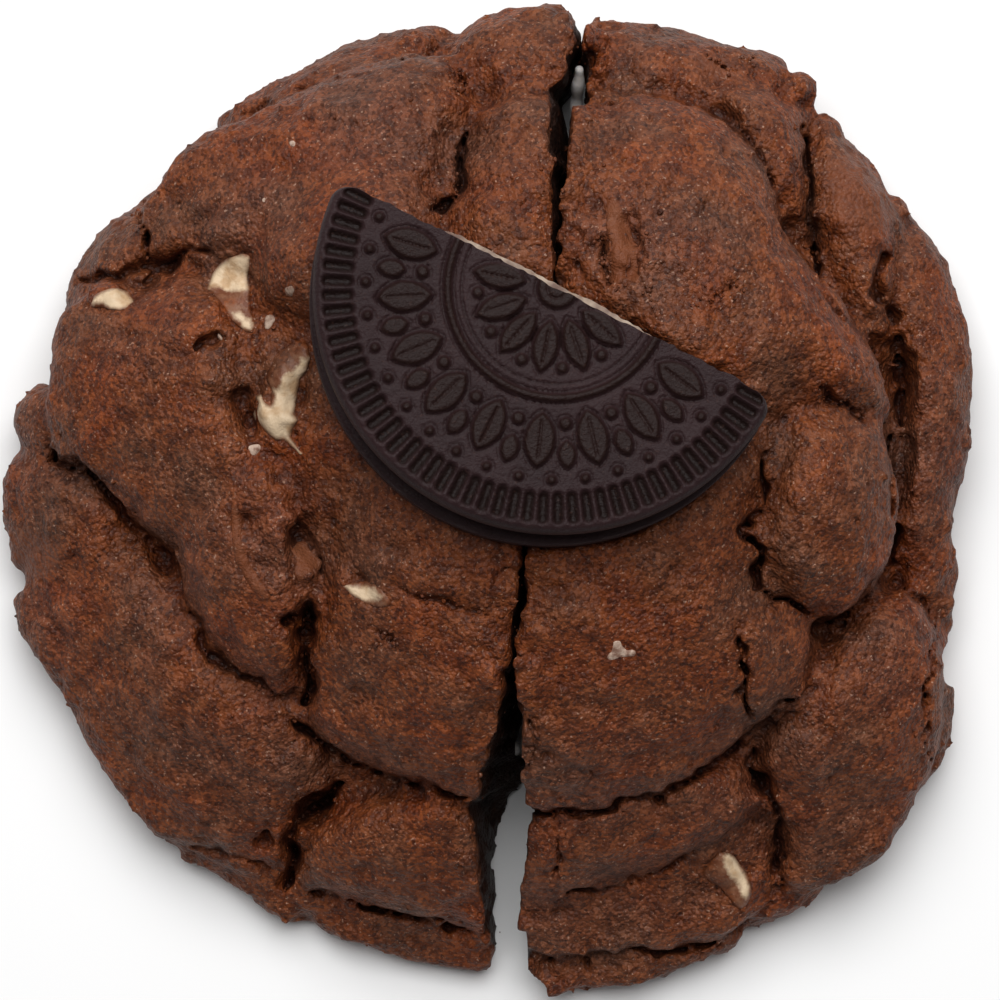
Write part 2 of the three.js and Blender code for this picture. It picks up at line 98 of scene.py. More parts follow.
def read_between(values, cell):
    """Values of an array at places given in cells, each blended from the cells round it."""
    cell = np.clip(cell, 0, np.array(values.shape) - 1.001)
    base = cell.astype(int)
    part = cell - base
    total = np.zeros(len(cell))
    for corner in np.ndindex(*[2] * values.ndim):
        share = np.prod(np.where(corner, part, 1 - part), axis=1)
        total += share * values[tuple((base + corner).T)]
    return total


def shade_smooth(mesh):
    mesh.polygons.foreach_set("use_smooth", np.ones(len(mesh.polygons), bool))


# ---- Distance fields ----
BLUR_REACH = 2.5  # standard deviations
NO_TOP = -10.0  # height given to a column that holds nothing
FAR = 1e3
TINY = 1e-9


class Field:
    """A signed distance in millimetres on a grid, negative inside."""

    def __init__(self, values, low, voxel):
        self.values, self.low, self.voxel = values, np.asarray(low), voxel

    @property
    def axes(self):
        return [self.low[i] + self.voxel * np.arange(self.values.shape[i]) for i in range(3)]

    def blurred(self, sigma):
        """The field after a Gaussian blur of that many millimetres."""
        sigma = sigma / self.voxel
        reach = int(math.ceil(BLUR_REACH * sigma))
        offsets = np.arange(-reach, reach + 1)
        kernel = np.exp(-0.5 * (offsets / sigma) ** 2)
        kernel = (kernel / kernel.sum()).astype(np.float32)
        out = self.values
        for axis in range(3):
            padded = np.pad(out, [(reach, reach) if i == axis else (0, 0) for i in range(3)], mode="edge")
            out = sum(
                weight * np.take(padded, range(k, k + self.values.shape[axis]), axis)
                for k, weight in enumerate(kernel)
            )
        return out

    def sample(self, values, points):
        """Values of an array on this grid at places in millimetres."""
        return read_between(values, (points - self.low) / self.voxel)

    def top(self):
        """Height of the highest surface in each column, and NO_TOP where there is none."""
        inside = self.values < 0
        count = inside.shape[2]
        last = count - 1 - np.argmax(inside[:, :, ::-1], axis=2)
        height = self.low[2] + self.voxel * last
        return np.where(inside.any(axis=2), height, NO_TOP)

    def mesh(self, name, scraps=False):
        """The surface as a Blender mesh, in metres, without loose scraps unless they are wanted."""
        edge = float(np.abs(self.values).max())
        grid = vdb.FloatGrid(edge)
        grid.gridClass = vdb.GridClass.LEVEL_SET
        grid.copyFromArray(np.ascontiguousarray(self.values, np.float32))
        points, quads = grid.convertToQuads(0.0)
        if not scraps:
            points, quads = largest_island(points, quads)
        points = points * self.voxel + self.low
        made = bpy.data.meshes.new(name)
        made.from_pydata((points * MM).tolist(), [], quads[:, ::-1].tolist())
        made.validate()
        shade_smooth(made)
        return made


def largest_island(points, quads):
    """The largest connected surface, without loose scraps beside it or sealed bubbles inside it."""
    label = np.arange(len(points))
    ends = np.concatenate([quads[:, [0, 1]], quads[:, [1, 2]], quads[:, [2, 3]]])
    before = None
    while not np.array_equal(before, label):
        before = label.copy()
        lowest = np.minimum(label[ends[:, 0]], label[ends[:, 1]])
        np.minimum.at(label, ends[:, 0], lowest)
        np.minimum.at(label, ends[:, 1], lowest)
        label = label[label]
    island = label[quads[:, 0]]
    names, counts = np.unique(island, return_counts=True)
    kept = quads[island == names[np.argmax(counts)]]
    used = np.unique(kept)
    number = np.zeros(len(points), int)
    number[used] = np.arange(len(used))
    return points[used], number[kept]


def field_of(node, voxel, band):
    """The distance field of a CAD node's solid, band voxels deep on each side of its surface."""
    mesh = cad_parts[node].data
    mesh.calc_loop_triangles()
    corners = np.zeros(len(mesh.vertices) * 3, np.float32)
    mesh.vertices.foreach_get("co", corners)
    faces = np.zeros(len(mesh.loop_triangles) * 3, np.int32)
    mesh.loop_triangles.foreach_get("vertices", faces)
    unique, index = np.unique(np.round(corners.reshape(-1, 3) / MM, 3), axis=0, return_inverse=True)
    triangles = index.ravel()[faces].reshape(-1, 3).astype(np.uint32)
    grid = vdb.FloatGrid.createLevelSetFromPolygons(
        unique.astype(np.float32),
        triangles=triangles,
        transform=vdb.createLinearTransform(voxelSize=voxel),
        halfWidth=float(band),
    )
    low, high = (np.array(c) for c in grid.evalActiveVoxelBoundingBox())
    low, high = low - FIELD_RIM, high + FIELD_RIM + 1
    values = np.empty(high - low, np.float32)
    grid.copyToArray(values, ijk=tuple(int(c) for c in low))
    return Field(values, low * voxel, voxel)


def line_distance(plan, route):
    """Distance in the plan from each place of the grid to a line, and how far along the line it is."""
    x, y = plan
    lengths = np.linalg.norm(np.diff(route, axis=0), axis=1)
    ends = np.concatenate([[0], np.cumsum(lengths)])
    best = np.full(x.shape, FAR)
    along = np.zeros(x.shape)
    for k in range(len(route) - 1):
        (ax, ay), (bx, by) = route[k], route[k + 1]
        t = ((x - ax) * (bx - ax) + (y - ay) * (by - ay)) / max(lengths[k] ** 2, TINY)
        t = np.clip(t, 0, 1)
        far = np.hypot(x - ax - t * (bx - ax), y - ay - t * (by - ay))
        nearer = far < best
        best = np.where(nearer, far, best)
        along = np.where(nearer, (ends[k] + t * lengths[k]) / ends[-1], along)
    return best, along


# ---- Dough ----
VOXEL = 0.35
FIELD_RIM = 2  # voxels of room round a solid's field
BAND = 9
MOST_FACES = 196000
SOFTEN = 0.7  # how far the CAD solid's flat faces are rounded off
SWELL = 0.12  # what the rounding takes off, given back
SKIN = [(8.0, 0.4), (3.8, 0.32), (2.0, 0.28), (1.2, 0.17), (0.75, 0.09)]  # wave and height of the skin
PORE_WAVE, PORE_START, PORE_DEPTH = 0.9, 0.62, 1.1
GRAIN_WAVE, GRAIN_START, GRAIN_HEIGHT = 0.8, 0.5, 0.8
CRUMB_WAVE, CRUMB_HEIGHT = 1.4, 0.5
LEAST_GROOVE = 0.3  # half the opening of the thinnest groove that the grid can hold
GROOVE_RAGGED = 0.25  # how far a groove's walls wander
RAGGED = [(2.4, 0.42), (1.2, 0.36), (0.7, 0.3)]  # wave and push of what makes a drawn line ragged
SKIN_SEED, PORE_SEED, GRAIN_SEED, CRUMB_SEED, CUT_SEED, RAGGED_SEED = 10, 21, 22, 23, 61, 70
CUT_CRUMBLE, CUT_ROUGH = 2.6, 1.4  # how far from the knife's cut the skin is rougher, and by how much
TORN_REACH, TORN_ROUGH = 0.9, 0.7  # the same beside a crack
FACE_WAVES = [(1.7, 0.3), (0.8, 0.25)]  # wave and height of the cut's face
CREST_WIDTH = 1.5  # half of the strip beside the cut in which its height is taken
CREST_SPAN = 13  # voxels along the cut over which that height is evened out
# How far the cut leans, at distances to the back, for the left half and for the right half.
CUT_LEAN_AT = [-60, 34, 37, 46]
CUT_LEAN = {-1: [0.12, 0.12, 0.08, 0.05], 1: [0.12, 0.12, 0.0, 0.0]}
CUT_REACH = 3  # voxels by which a half may stand out past the CAD's own cut
FOOT_AT = [-35.0, -31.0, -24.0, -10.0, -6.0]  # where the left half has a torn foot that closes the cut
FOOT = [0.0, 1.8, 2.6, 2.6, 0.0]
FOOT_HEIGHT = [0.3, 1.6, 8.0, 8.0, 8.0]
FOOT_WIDTH = 5.0
RIM_HEIGHT = 6.0  # a usual height of the rim's widest line
CUT_LOOK = 8  # photograph pixels from the cut's edge to where the crust's height is taken
POCKET_DROP = 3  # voxels that a chip's pocket is filled below the chip
POCKET_RING = 0.4  # and how far round it
FIRST_GUESS, SIGHT_STEPS = 20.0, 4  # a line of sight meets the dough near this height, found in steps
VALLEY_REACH = 4  # a valley is at its full depth down to here, and gone at twice as far
VALLEY_TAPER, VALLEY_END = 5, 0.2  # how fast a valley deepens along its line, and its depth at the ends
GROOVE_TAPER, GROOVE_NEAR = 8, 4
PIT_NEAR = 3  # half widths from a pit's middle within which it is worked out
FOOT_SLOPE = 0.6  # share of the foot's height over which it slopes
# The cut face's darker crumb and painted shade show from 0.6 mm below the cut's upper edge, and fade out
# from 0.6 mm beside its face.
CUT_SHADE_DROP, CUT_SHADE_EDGE = 1.2, 0.5
CUT_SHADE_FADE, CUT_SHADE_START = 0.5, 2.2
REACH_BAND = 2.0  # depth on each side of the cut within which a half may stand out
LUMP_TALL = 0.5  # what a height counts for in a lump's distance, so that lumps are taller than wide
BEND_BLUR = 1.0
PATCH_HEIGHT, PATCH_FADE = 10.0, 1.5
CHIPS = [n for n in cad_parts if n.startswith(("white_chip", "milk_chip"))]

# The upper edges of the knife's cut, from the back to the front, in photograph pixels.
GAP_LEFT = [
    (566, 8), (573, 18), (576, 30), (576, 40), (572, 50), (565, 57), (565, 70), (560, 80), (547, 90),
    (550, 105), (546, 130), (548, 150), (555, 160), (548, 175), (550, 195), (552, 215), (550, 230),
    (553, 265), (520, 555), (518, 575), (516, 600), (511, 620), (513, 640), (508, 668), (502, 672),
    (503, 690), (498, 700), (494, 720), (492, 738), (486, 750), (483, 765), (479, 772), (480, 785),
    (477, 798), (466, 806), (470, 815), (472, 830), (475, 850), (477, 870), (480, 900), (482, 920),
    (485, 930), (492, 950),
]
GAP_RIGHT = [
    (606, 10), (596, 20), (587, 27), (586, 40), (584, 50), (586, 60), (587, 90), (589, 105), (570, 118),
    (570, 135), (569, 150), (566, 175), (560, 195), (560, 215), (558, 240), (555, 262), (525, 548),
    (524, 575), (526, 600), (520, 620), (517, 640), (516, 660), (518, 690), (519, 720), (520, 750),
    (522, 780), (525, 800), (530, 815), (525, 825), (524, 850), (522, 880), (519, 900), (518, 930),
    (519, 945), (525, 962), (535, 976), (550, 987),
]

# Cracks and the dark feet of ledges: the route in photograph pixels, and the opening and depth.
CRACKS = {
    "left_front": ([(283, 620), (300, 622), (308, 612), (305, 640), (306, 665), (311, 690), (305, 706)],
     2.0, 6.0),
    "back_middle": ([(470, 128), (462, 150), (457, 168), (460, 182), (455, 197), (443, 208), (428, 206)],
     1.2, 4.0),
    "front_right": ([(735, 628), (742, 648), (740, 660), (744, 675), (740, 690), (748, 705), (752, 716)],
     0.7, 3.5),
    "side_top": ([(813, 386), (822, 392), (832, 401), (848, 406), (856, 415), (866, 424)], 0.4, 1.0),
    "side_left": ([(764, 450), (768, 475), (762, 500), (752, 520), (742, 532), (748, 540), (762, 548),
     (762, 560), (755, 570), (756, 584), (768, 596), (790, 605), (806, 608), (818, 618)], 0.8, 3.5),
    "back_left": ([(140, 205), (139, 222), (142, 240), (149, 258), (154, 276)], 0.8, 2.5),
    "back_right": ([(803, 122), (805, 145), (809, 165), (812, 190), (813, 215), (816, 240), (817, 262),
     (826, 292)], 0.9, 3.5),
    "top_small": ([(457, 76), (460, 88)], 0.5, 1.5),
    "front_small": ([(555, 828), (560, 850), (558, 876)], 0.5, 2.0),
    "beside_smear_left": ([(597, 232), (603, 253), (607, 272), (613, 292)], 0.25, 1.5),
    "beside_smear_right": ([(634, 212), (637, 240), (643, 270), (650, 300)], 0.2, 1.2),
    "back_right_fine": ([(697, 312), (712, 298), (722, 290), (746, 284)], 0.15, 1.2),
    "back_right_wrinkle": ([(700, 54), (716, 64), (728, 70), (742, 68), (758, 58)], 0.5, 1.6),
    "rim_right_fine": ([(886, 576), (908, 590), (925, 602), (934, 626), (936, 650), (927, 682), (924, 720),
     (926, 760)], 0.3, 1.5),
    "front_left_fine": ([(378, 628), (388, 637), (392, 646)], 0.2, 1.2),
    "crown_fine": ([(400, 590), (425, 600), (447, 604), (470, 612), (492, 612)], 0.1, 1.0),
    "right_edge_fine": ([(531, 720), (533, 745), (528, 765)], 0.3, 1.5),
}
LEDGES = {
    "crown_left": ([(62, 430), (55, 462), (80, 460), (90, 470), (105, 488), (120, 508), (135, 525),
     (150, 537), (178, 548), (180, 560), (187, 575), (188, 595), (193, 615), (200, 635), (212, 650),
     (230, 667), (250, 680), (270, 693), (290, 700)], 1.0, 2.4),
    "crown_front": ([(279, 712), (300, 725), (320, 740), (340, 755), (355, 765), (380, 768), (405, 775),
     (430, 788), (450, 796), (472, 800)], 1.1, 2.6),
    "crown_back": ([(225, 120), (285, 98), (330, 80), (370, 65), (400, 60), (440, 50)], 0.7, 1.4),
    "valley_left": ([(75, 283), (100, 278), (120, 280), (150, 262), (165, 265), (185, 255), (200, 248),
     (215, 256)], 1.3, 2.0),
    "crown_right": ([(650, 93), (690, 103), (725, 120), (755, 145), (770, 175), (775, 205), (785, 235),
     (800, 255), (815, 275), (830, 300), (850, 325), (870, 345)], 0.8, 1.8),
    "rim_right": ([(880, 250), (878, 275), (880, 290), (890, 315), (900, 335), (906, 355), (908, 380),
     (905, 400), (900, 425)], 2.0, 3.5),
    "side_right": ([(893, 430), (892, 480), (896, 510), (897, 540), (893, 560), (880, 580), (860, 600),
     (840, 617), (822, 625)], 1.3, 3.0),
    "crown_front_right": ([(525, 812), (545, 815), (560, 808), (575, 815), (600, 812), (620, 803),
     (660, 797), (690, 780), (710, 768), (725, 748), (745, 733), (765, 722), (785, 705), (800, 697)], 1.2,
     2.6),
    "skirt_right": ([(750, 740), (748, 765), (765, 790), (775, 805), (782, 845), (778, 872)], 1.2, 2.5),
    "skirt_foot": ([(517, 950), (535, 955), (590, 957), (650, 950), (720, 945)], 1.0, 2.5),
    "skirt_fold": ([(560, 892), (600, 890), (640, 880), (665, 865), (685, 855), (700, 850)], 0.8, 1.2),
    "skirt_left": ([(478, 932), (440, 922), (400, 912), (350, 900), (305, 890)], 1.0, 2.5),
    "lip_left": ([(190, 848), (220, 852), (240, 860), (270, 868)], 0.9, 1.5),
    "groove_left": ([(300, 527), (309, 540), (315, 553), (324, 572)], 0.6, 2.0),
    "block_left": ([(345, 783), (334, 790), (328, 803), (310, 813), (292, 822), (287, 840), (293, 858),
     (284, 880), (287, 893)], 1.7, 4.0),
}
# Soft hollows: the route in photograph pixels, and the half width and depth in millimetres.
VALLEYS = {
    "beside_stripe": ([(256, 505), (262, 530), (270, 556), (282, 578)], 1.6, 0.6),
    "trough_left": ([(277, 450), (281, 480), (289, 505), (298, 530), (309, 550), (320, 568)], 1.5, 1.2),
    "torn_left": ([(232, 392), (240, 408), (246, 425), (258, 444)], 1.2, 0.7),
    "below_crown_left": ([(110, 520), (150, 560), (170, 600), (200, 655), (240, 690)], 3.0, 0.8),
    "left_lobe_back": ([(160, 190), (178, 205), (196, 225), (206, 245)], 1.6, 0.8),
    "smear_trough": ([(626, 215), (631, 240), (636, 262), (640, 282)], 0.6, 0.5),
    "back_right_dip": ([(640, 92), (680, 92), (715, 108), (745, 128)], 1.6, 0.7),
    "front_middle": ([(350, 690), (372, 700), (392, 715)], 2.2, 0.5),
    "side_right_dip": ([(870, 300), (885, 330), (893, 360), (897, 400)], 1.5, 0.8),
}
# Torn pits: centre in pixels, half widths and depth in millimetres.
PITS = {
    "left_valley": ((242, 401), (0.8, 1.2), 2.2),
    "left_valley_low": ((246, 425), (0.5, 0.9), 1.8),
    "left_lobe": ((214, 341), (2.1, 1.0), 2.6),
    "left_lobe_small": ((199, 332), (0.9, 0.6), 1.6),
    "left_end": ((155, 280), (0.8, 0.7), 1.8),
    "right_end": ((817, 279), (0.7, 0.8), 2.0),
    "front_left_low": ((265, 842), (0.6, 0.7), 1.5),
    "front_right": ((757, 776), (1.3, 1.2), 2.0),
    "front_right_low": ((778, 868), (0.9, 1.0), 2.0),
}
# Lumps that stand out of the rim: centre in pixels, radius and height of the centre in millimetres.
LUMPS = {
    "back_right_corner": ((799, 88), 1.9, 9.0),
    "back_right_step": ((826, 128), 1.7, 8.0),
    "right_crumb_high": ((948, 523), 0.7, 9.0),
    "right_crumb_low": ((950, 600), 0.8, 7.0),
    "left_point": ((23, 604), 1.15, 5.0),
    "front_lip": ((590, 978), 1.8, 3.0),
    "front_lip_left": ((567, 974), 1.6, 3.0),
    "back_right_rim": ((896, 214), 1.8, 6.0),
    "front_right_rim": ((757, 904), 2.3, 3.0),
    "front_right_foot": ((778, 893), 2.3, 3.0),
    "front_right_skirt": ((801, 884), 2.0, 3.0),
}
# Notches in the rim, cut straight down: centre in pixels and radius in millimetres.
NOTCHES = {"right": ((972, 663), 3.0), "left": ((12, 578), 1.2), "back": ((829, 100), 1.2)}
SMOOTH_PATCHES = [
    [(8, 535), (30, 532), (55, 545), (60, 565), (40, 582), (22, 578), (6, 562)],
    [(822, 165), (850, 150), (870, 175), (895, 205), (885, 235), (850, 240), (825, 215)],
    [(690, 60), (725, 62), (740, 80), (700, 84)],
]


def polygon_distance(x, y, outline):
    """Distance in the plan to a closed outline, negative inside it."""
    inside = np.zeros(x.shape, bool)
    best = np.full(x.shape, FAR)
    for (ax, ay), (bx, by) in zip(outline, np.roll(outline, -1, axis=0)):
        t = ((x - ax) * (bx - ax) + (y - ay) * (by - ay)) / max((bx - ax) ** 2 + (by - ay) ** 2, TINY)
        t = np.clip(t, 0, 1)
        best = np.minimum(best, np.hypot(x - ax - t * (bx - ax), y - ay - t * (by - ay)))
        crosses = (ay > y) != (by > y)
        slope = (bx - ax) / (by - ay) if by != ay else 0.0
        inside ^= crosses & (x < ax + (y - ay) * slope)
    return np.where(inside, -best, best)


def spot_on(field, top, pixel, height=FIRST_GUESS):
    """Where the line of sight through a photograph's pixel meets the half, as (x, y, z)."""
    for _ in range(SIGHT_STEPS):
        spot = place(pixel, height)
        cell = np.clip(((spot - field.low[:2]) / field.voxel).astype(int), 0, np.array(top.shape) - 1)
        found = top[cell[0], cell[1]]
        height = float(found) if found > 0 else height
    return np.array([*spot, height])


def on_grid(field, spots):
    """Whether any of the places lies over this half's grid."""
    low = field.low[:2]
    high = low + field.voxel * np.array(field.values.shape[:2])
    return any(np.all((spot[:2] > low) & (spot[:2] < high)) for spot in spots)


def remove(field, cutter):
    field.values = np.maximum(field.values, cutter.astype(np.float32))


def ragged_plan(field):
    """The place of each column in the plan, pushed about so that what is drawn there comes out ragged."""
    plan = []
    for axis, places in enumerate(np.meshgrid(field.axes[0], field.axes[1], indexing="ij")):
        for k, (wave, push) in enumerate(RAGGED):
            places = places + push * noise(field.axes[:2], wave, RAGGED_SEED + 10 * axis + k)
        plan.append(places)
    return plan


def press_valleys(field, top, plan):
    below = top[:, :, None] - field.axes[2][None, None, :]
    shallow = np.clip(2 - below / VALLEY_REACH, 0, 1)
    for route, half, depth in VALLEYS.values():
        spots = [spot_on(field, top, pixel) for pixel in route]
        if on_grid(field, spots):
            far, along = line_distance(plan, np.array(spots)[:, :2])
            ends = np.clip(np.minimum(along, 1 - along) * VALLEY_TAPER + VALLEY_END, 0, 1)
            field.values += (depth * ends * np.exp(-(far / half) ** 2))[:, :, None] * shallow


def grooves_on(field, top, grooves, plan):
    """How far inside a groove each place is, and how torn the skin of each column is from 0 to 1."""
    below = top[:, :, None] - field.axes[2][None, None, :]
    torn = np.zeros(top.shape)
    inside = np.full(field.values.shape, -BAND * VOXEL, np.float32)
    for route, width, depth in grooves.values():
        spots = [spot_on(field, top, pixel) for pixel in route]
        if not on_grid(field, spots):
            continue
        far, along = line_distance(plan, np.array(spots)[:, :2])
        taper = np.clip(np.minimum(along, 1 - along) * GROOVE_TAPER, 0, 1) ** 0.5
        half = np.maximum(width / 2, LEAST_GROOVE) * taper
        torn = np.maximum(torn, np.exp(-np.maximum(far - half, 0) / TORN_REACH) * min(width, 1))
        near = far < GROOVE_NEAR
        opening = half[near][:, None] * (1 - below[near] / depth)
        inside[near] = np.maximum(inside[near], opening - far[near][:, None])
    return inside, torn


def carve_pits(field, top, plan):
    x, y = plan
    z = field.axes[2][None, None, :]
    for pixel, half, depth in PITS.values():
        cx, cy, height = spot_on(field, top, pixel)
        if not on_grid(field, [(cx, cy)]):
            continue
        reach = np.hypot((x - cx) / half[0], (y - cy) / half[1])
        deep = (z - height) / depth
        ball = (1 - np.sqrt(reach[:, :, None] ** 2 + deep ** 2)) * min(half)
        remove(field, np.where(reach[:, :, None] < PIT_NEAR, ball, -1))


def carve_notches(field, plan):
    x, y = plan
    for pixel, radius in NOTCHES.values():
        cx, cy = place(pixel, RIM_HEIGHT)
        if not on_grid(field, [(cx, cy)]):
            continue
        inside = radius - np.hypot(x - cx, y - cy)
        remove(field, np.broadcast_to(inside[:, :, None], field.values.shape))


def fill_pockets(field, nodes):
    """Closes the pockets that the CAD half has for its chips, as the chips' own pieces lie flush."""
    for node in nodes:
        other = field_of(node, VOXEL, BAND)
        start = np.round((other.low - field.low) / VOXEL).astype(int) - np.array([0, 0, POCKET_DROP])
        first = np.maximum(start, 0)
        last = np.minimum(start + other.values.shape, field.values.shape)
        if np.any(last <= first):
            continue
        here = tuple(slice(a, b) for a, b in zip(first, last))
        there = tuple(slice(a, b) for a, b in zip(first - start, last - start))
        field.values[here] = np.minimum(field.values[here], other.values[there] - POCKET_RING)


class Cut:
    """The knife's cut through one half: a leaning face under an uneven upper edge."""

    def __init__(self, field, top, side):
        self.side = side
        edge = GAP_LEFT if side < 0 else GAP_RIGHT
        heights = [spot_on(field, top, (x + side * CUT_LOOK, y), RIM_HEIGHT)[2] for x, y in edge]
        route = np.array([place(pixel, height) for pixel, height in zip(edge, heights)])[::-1]
        self.across, self.back = route[:, 0], np.maximum.accumulate(route[:, 1])
        inward = field.axes[0][:, None] - self.edge(field.axes[1])[None, :] - side * CREST_WIDTH
        near = np.abs(inward) < CREST_WIDTH
        crest = np.pad(np.where(near, top, NO_TOP).max(axis=0), CREST_SPAN // 2, mode="edge")
        self.rows = field.axes[1]
        self.crest = np.convolve(crest, np.ones(CREST_SPAN) / CREST_SPAN, mode="valid")

    def edge(self, y):
        return np.interp(y, self.back, self.across)

    def height(self, y):
        return np.interp(y, self.rows, self.crest)

    def face(self, y, z):
        """Where the face lies across, at places along it and heights."""
        lean = np.interp(y, CUT_LEAN_AT, CUT_LEAN[self.side])
        top = np.interp(y, FOOT_AT, FOOT_HEIGHT)
        foot = np.interp(y, FOOT_AT, FOOT) * np.clip((top - z) / (FOOT_SLOPE * top), 0, 1) * (self.side < 0)
        return self.edge(y) + lean * np.maximum(self.height(y) - z, -1) + foot

    def depth_in(self, field):
        """How far each place of the grid lies inside the half, from the face."""
        y, z = np.meshgrid(field.axes[1], field.axes[2], indexing="ij")
        ragged = layered(field.axes[1:], FACE_WAVES, CUT_SEED)
        return (field.axes[0][:, None, None] - (self.face(y, z) + ragged)[None]) * self.side

    def crumb_and_shade(self, points):
        """Where the cut face gets its darker crumb and painted shade: 1 on the cut face below its upper
        edge, and 0 elsewhere.
        """
        away = np.abs(points[:, 0] - self.face(points[:, 1], points[:, 2]))
        below = self.height(points[:, 1]) - points[:, 2]
        beside = np.clip(CUT_SHADE_START - away / CUT_SHADE_FADE, 0, 1)
        return beside * np.clip(below / CUT_SHADE_DROP - CUT_SHADE_EDGE, 0, 1)


def add_foot(field, depth):
    """The torn foot of the left half, which closes the cut low down."""
    y, z = np.meshgrid(field.axes[1], field.axes[2], indexing="ij")
    ends = np.maximum(FOOT_AT[0] - y, y - FOOT_AT[-1])
    over = z - np.interp(y, FOOT_AT, FOOT_HEIGHT)
    block = np.maximum(np.maximum(-depth, depth - FOOT_WIDTH), np.maximum(over, ends)[None])
    field.values = np.minimum(field.values, block)


def reach_to_cut(field, side, depth):
    """Lets the half stand out to the photograph's cut where the CAD's own cut lies further back."""
    shifted = np.roll(field.values, -side * CUT_REACH, axis=0)
    field.values = np.where(np.abs(depth) < REACH_BAND, np.minimum(field.values, shifted), field.values)


def add_lumps(field):
    x, y, z = np.meshgrid(*field.axes, indexing="ij", sparse=True)
    for pixel, radius, height in LUMPS.values():
        cx, cy = place(pixel, height)
        if not on_grid(field, [(cx, cy)]):
            continue
        ball = np.sqrt((x - cx) ** 2 + (y - cy) ** 2 + (z - height) ** 2 * LUMP_TALL) - radius
        field.values = np.minimum(field.values, ball.astype(np.float32))


def dough_half(node, side):
    """One half of the cookie; side is -1 for the left half and 1 for the right half."""
    field = field_of(node, VOXEL, BAND)
    fill_pockets(field, CHIPS)
    add_lumps(field)
    field.values = field.blurred(SOFTEN) - SWELL
    top = field.top()
    cut = Cut(field, top, side)
    depth = cut.depth_in(field)
    reach_to_cut(field, side, depth)
    if side < 0:
        add_foot(field, depth)
    plan = ragged_plan(field)
    press_valleys(field, top, plan)
    grooves, torn = grooves_on(field, top, {**CRACKS, **LEDGES}, plan)
    carve_pits(field, top, plan)
    crumbly = np.exp(-np.maximum(depth, 0) / CUT_CRUMBLE)
    rough = 1 + CUT_ROUGH * crumbly + TORN_ROUGH * torn[:, :, None]
    skin = layered(field.axes, SKIN, SKIN_SEED)
    crumb = noise(field.axes, CRUMB_WAVE, CRUMB_SEED)
    pores = PORE_DEPTH * np.maximum(noise(field.axes, PORE_WAVE, PORE_SEED) - PORE_START, 0)
    grains = GRAIN_HEIGHT * np.maximum(noise(field.axes, GRAIN_WAVE, GRAIN_SEED) - GRAIN_START, 0)
    field.values = field.values + skin + CRUMB_HEIGHT * crumb * (rough - 1) + (pores - grains) * rough
    remove(field, grooves + GROOVE_RAGGED * crumb)
    carve_notches(field, plan)
    remove(field, -depth)
    remove(field, -field.axes[2][None, None, :] * np.ones_like(field.values[:, :, :1]))
    name = node + "_crust"
    piece = bpy.data.objects.new(name, field.mesh(name))
    bpy.context.scene.collection.objects.link(piece)
    thin_out(piece)
    mark(piece, field, cut)
    return piece, field


def thin_out(piece):
    """Fewer faces where the surface is plain, down to the most that a piece may have."""
    faces = 2 * len(piece.data.polygons)
    if faces <= MOST_FACES:
        return
    modifier = piece.modifiers.new("thin", "DECIMATE")
    modifier.ratio = MOST_FACES / faces
    depsgraph = bpy.context.evaluated_depsgraph_get()
    made = bpy.data.meshes.new_from_object(piece.evaluated_get(depsgraph))
    piece.modifiers.clear()
    piece.data = made
    made.name = piece.name
    shade_smooth(made)


def set_attribute(mesh, name, values):
    attribute = mesh.attributes.new(name, "FLOAT", "POINT")
    attribute.data.foreach_set("value", np.asarray(values, np.float32))


def vertices_of(mesh):
    """The mesh's corners in millimetres."""
    corners = np.zeros(len(mesh.vertices) * 3)
    mesh.vertices.foreach_get("co", corners)
    return corners.reshape(-1, 3) / MM


def mark(piece, field, cut):
    """Stores what the colours need: painted shade in hollows and painted light on ridges, the cut face's
    darker crumb and painted shade, and the smooth patches.
    """
    points = vertices_of(piece.data)
    # How far each corner lies in a hollow or on a ridge, for painted shade in the hollows and painted light
    # on the ridges.
    set_attribute(piece.data, "painted_shade_bend", field.sample(field.blurred(BEND_BLUR), points))
    # Where the cut face's darker crumb and painted shade go.
    set_attribute(piece.data, "cut", cut.crumb_and_shade(points))
    smooth = np.zeros(len(points))
    for patch in SMOOTH_PATCHES:
        outline = np.array([place(pixel, PATCH_HEIGHT) for pixel in patch])
        outside = polygon_distance(points[:, 0], points[:, 1], outline)
        smooth = np.maximum(smooth, np.clip(0.5 - outside / PATCH_FADE, 0, 1))
    set_attribute(piece.data, "smooth", smooth)


# ---- Materials ----
def nodes_of(name):
    material = bpy.data.materials.new(name)
    material.use_nodes = True
    tree = material.node_tree
    return material, tree, tree.nodes["Principled BSDF"]


def plug(tree, socket, value):
    """Links another node's output to a socket, or sets a number, a vector or a colour there."""
    if hasattr(value, "is_linked"):
        tree.links.new(value, socket)
    else:
        socket.default_value = (*value, 1) if isinstance(value, tuple) else value


def new_node(tree, kind, settings=None, **inputs):
    node = tree.nodes.new(kind)
    for key, value in (settings or {}).items():
        setattr(node, key, value)
    for key, value in inputs.items():
        plug(tree, node.inputs[key.replace("_", " ")], value)
    return node


def calculate(tree, kind, operation, *values):
    node = new_node(tree, kind, {"operation": operation})
    for socket, value in zip(node.inputs, values):
        plug(tree, socket, value)
    return node.outputs[0]


def position(tree):
    return new_node(tree, "ShaderNodeTexCoord").outputs["Object"]


def grain(tree, scale, detail=3.0, rough=0.55):
    """Soft noise of that many waves to the metre."""
    return new_node(tree, "ShaderNodeTexNoise", Vector=position(tree), Scale=scale, Detail=detail,
                    Roughness=rough).outputs["Fac"]


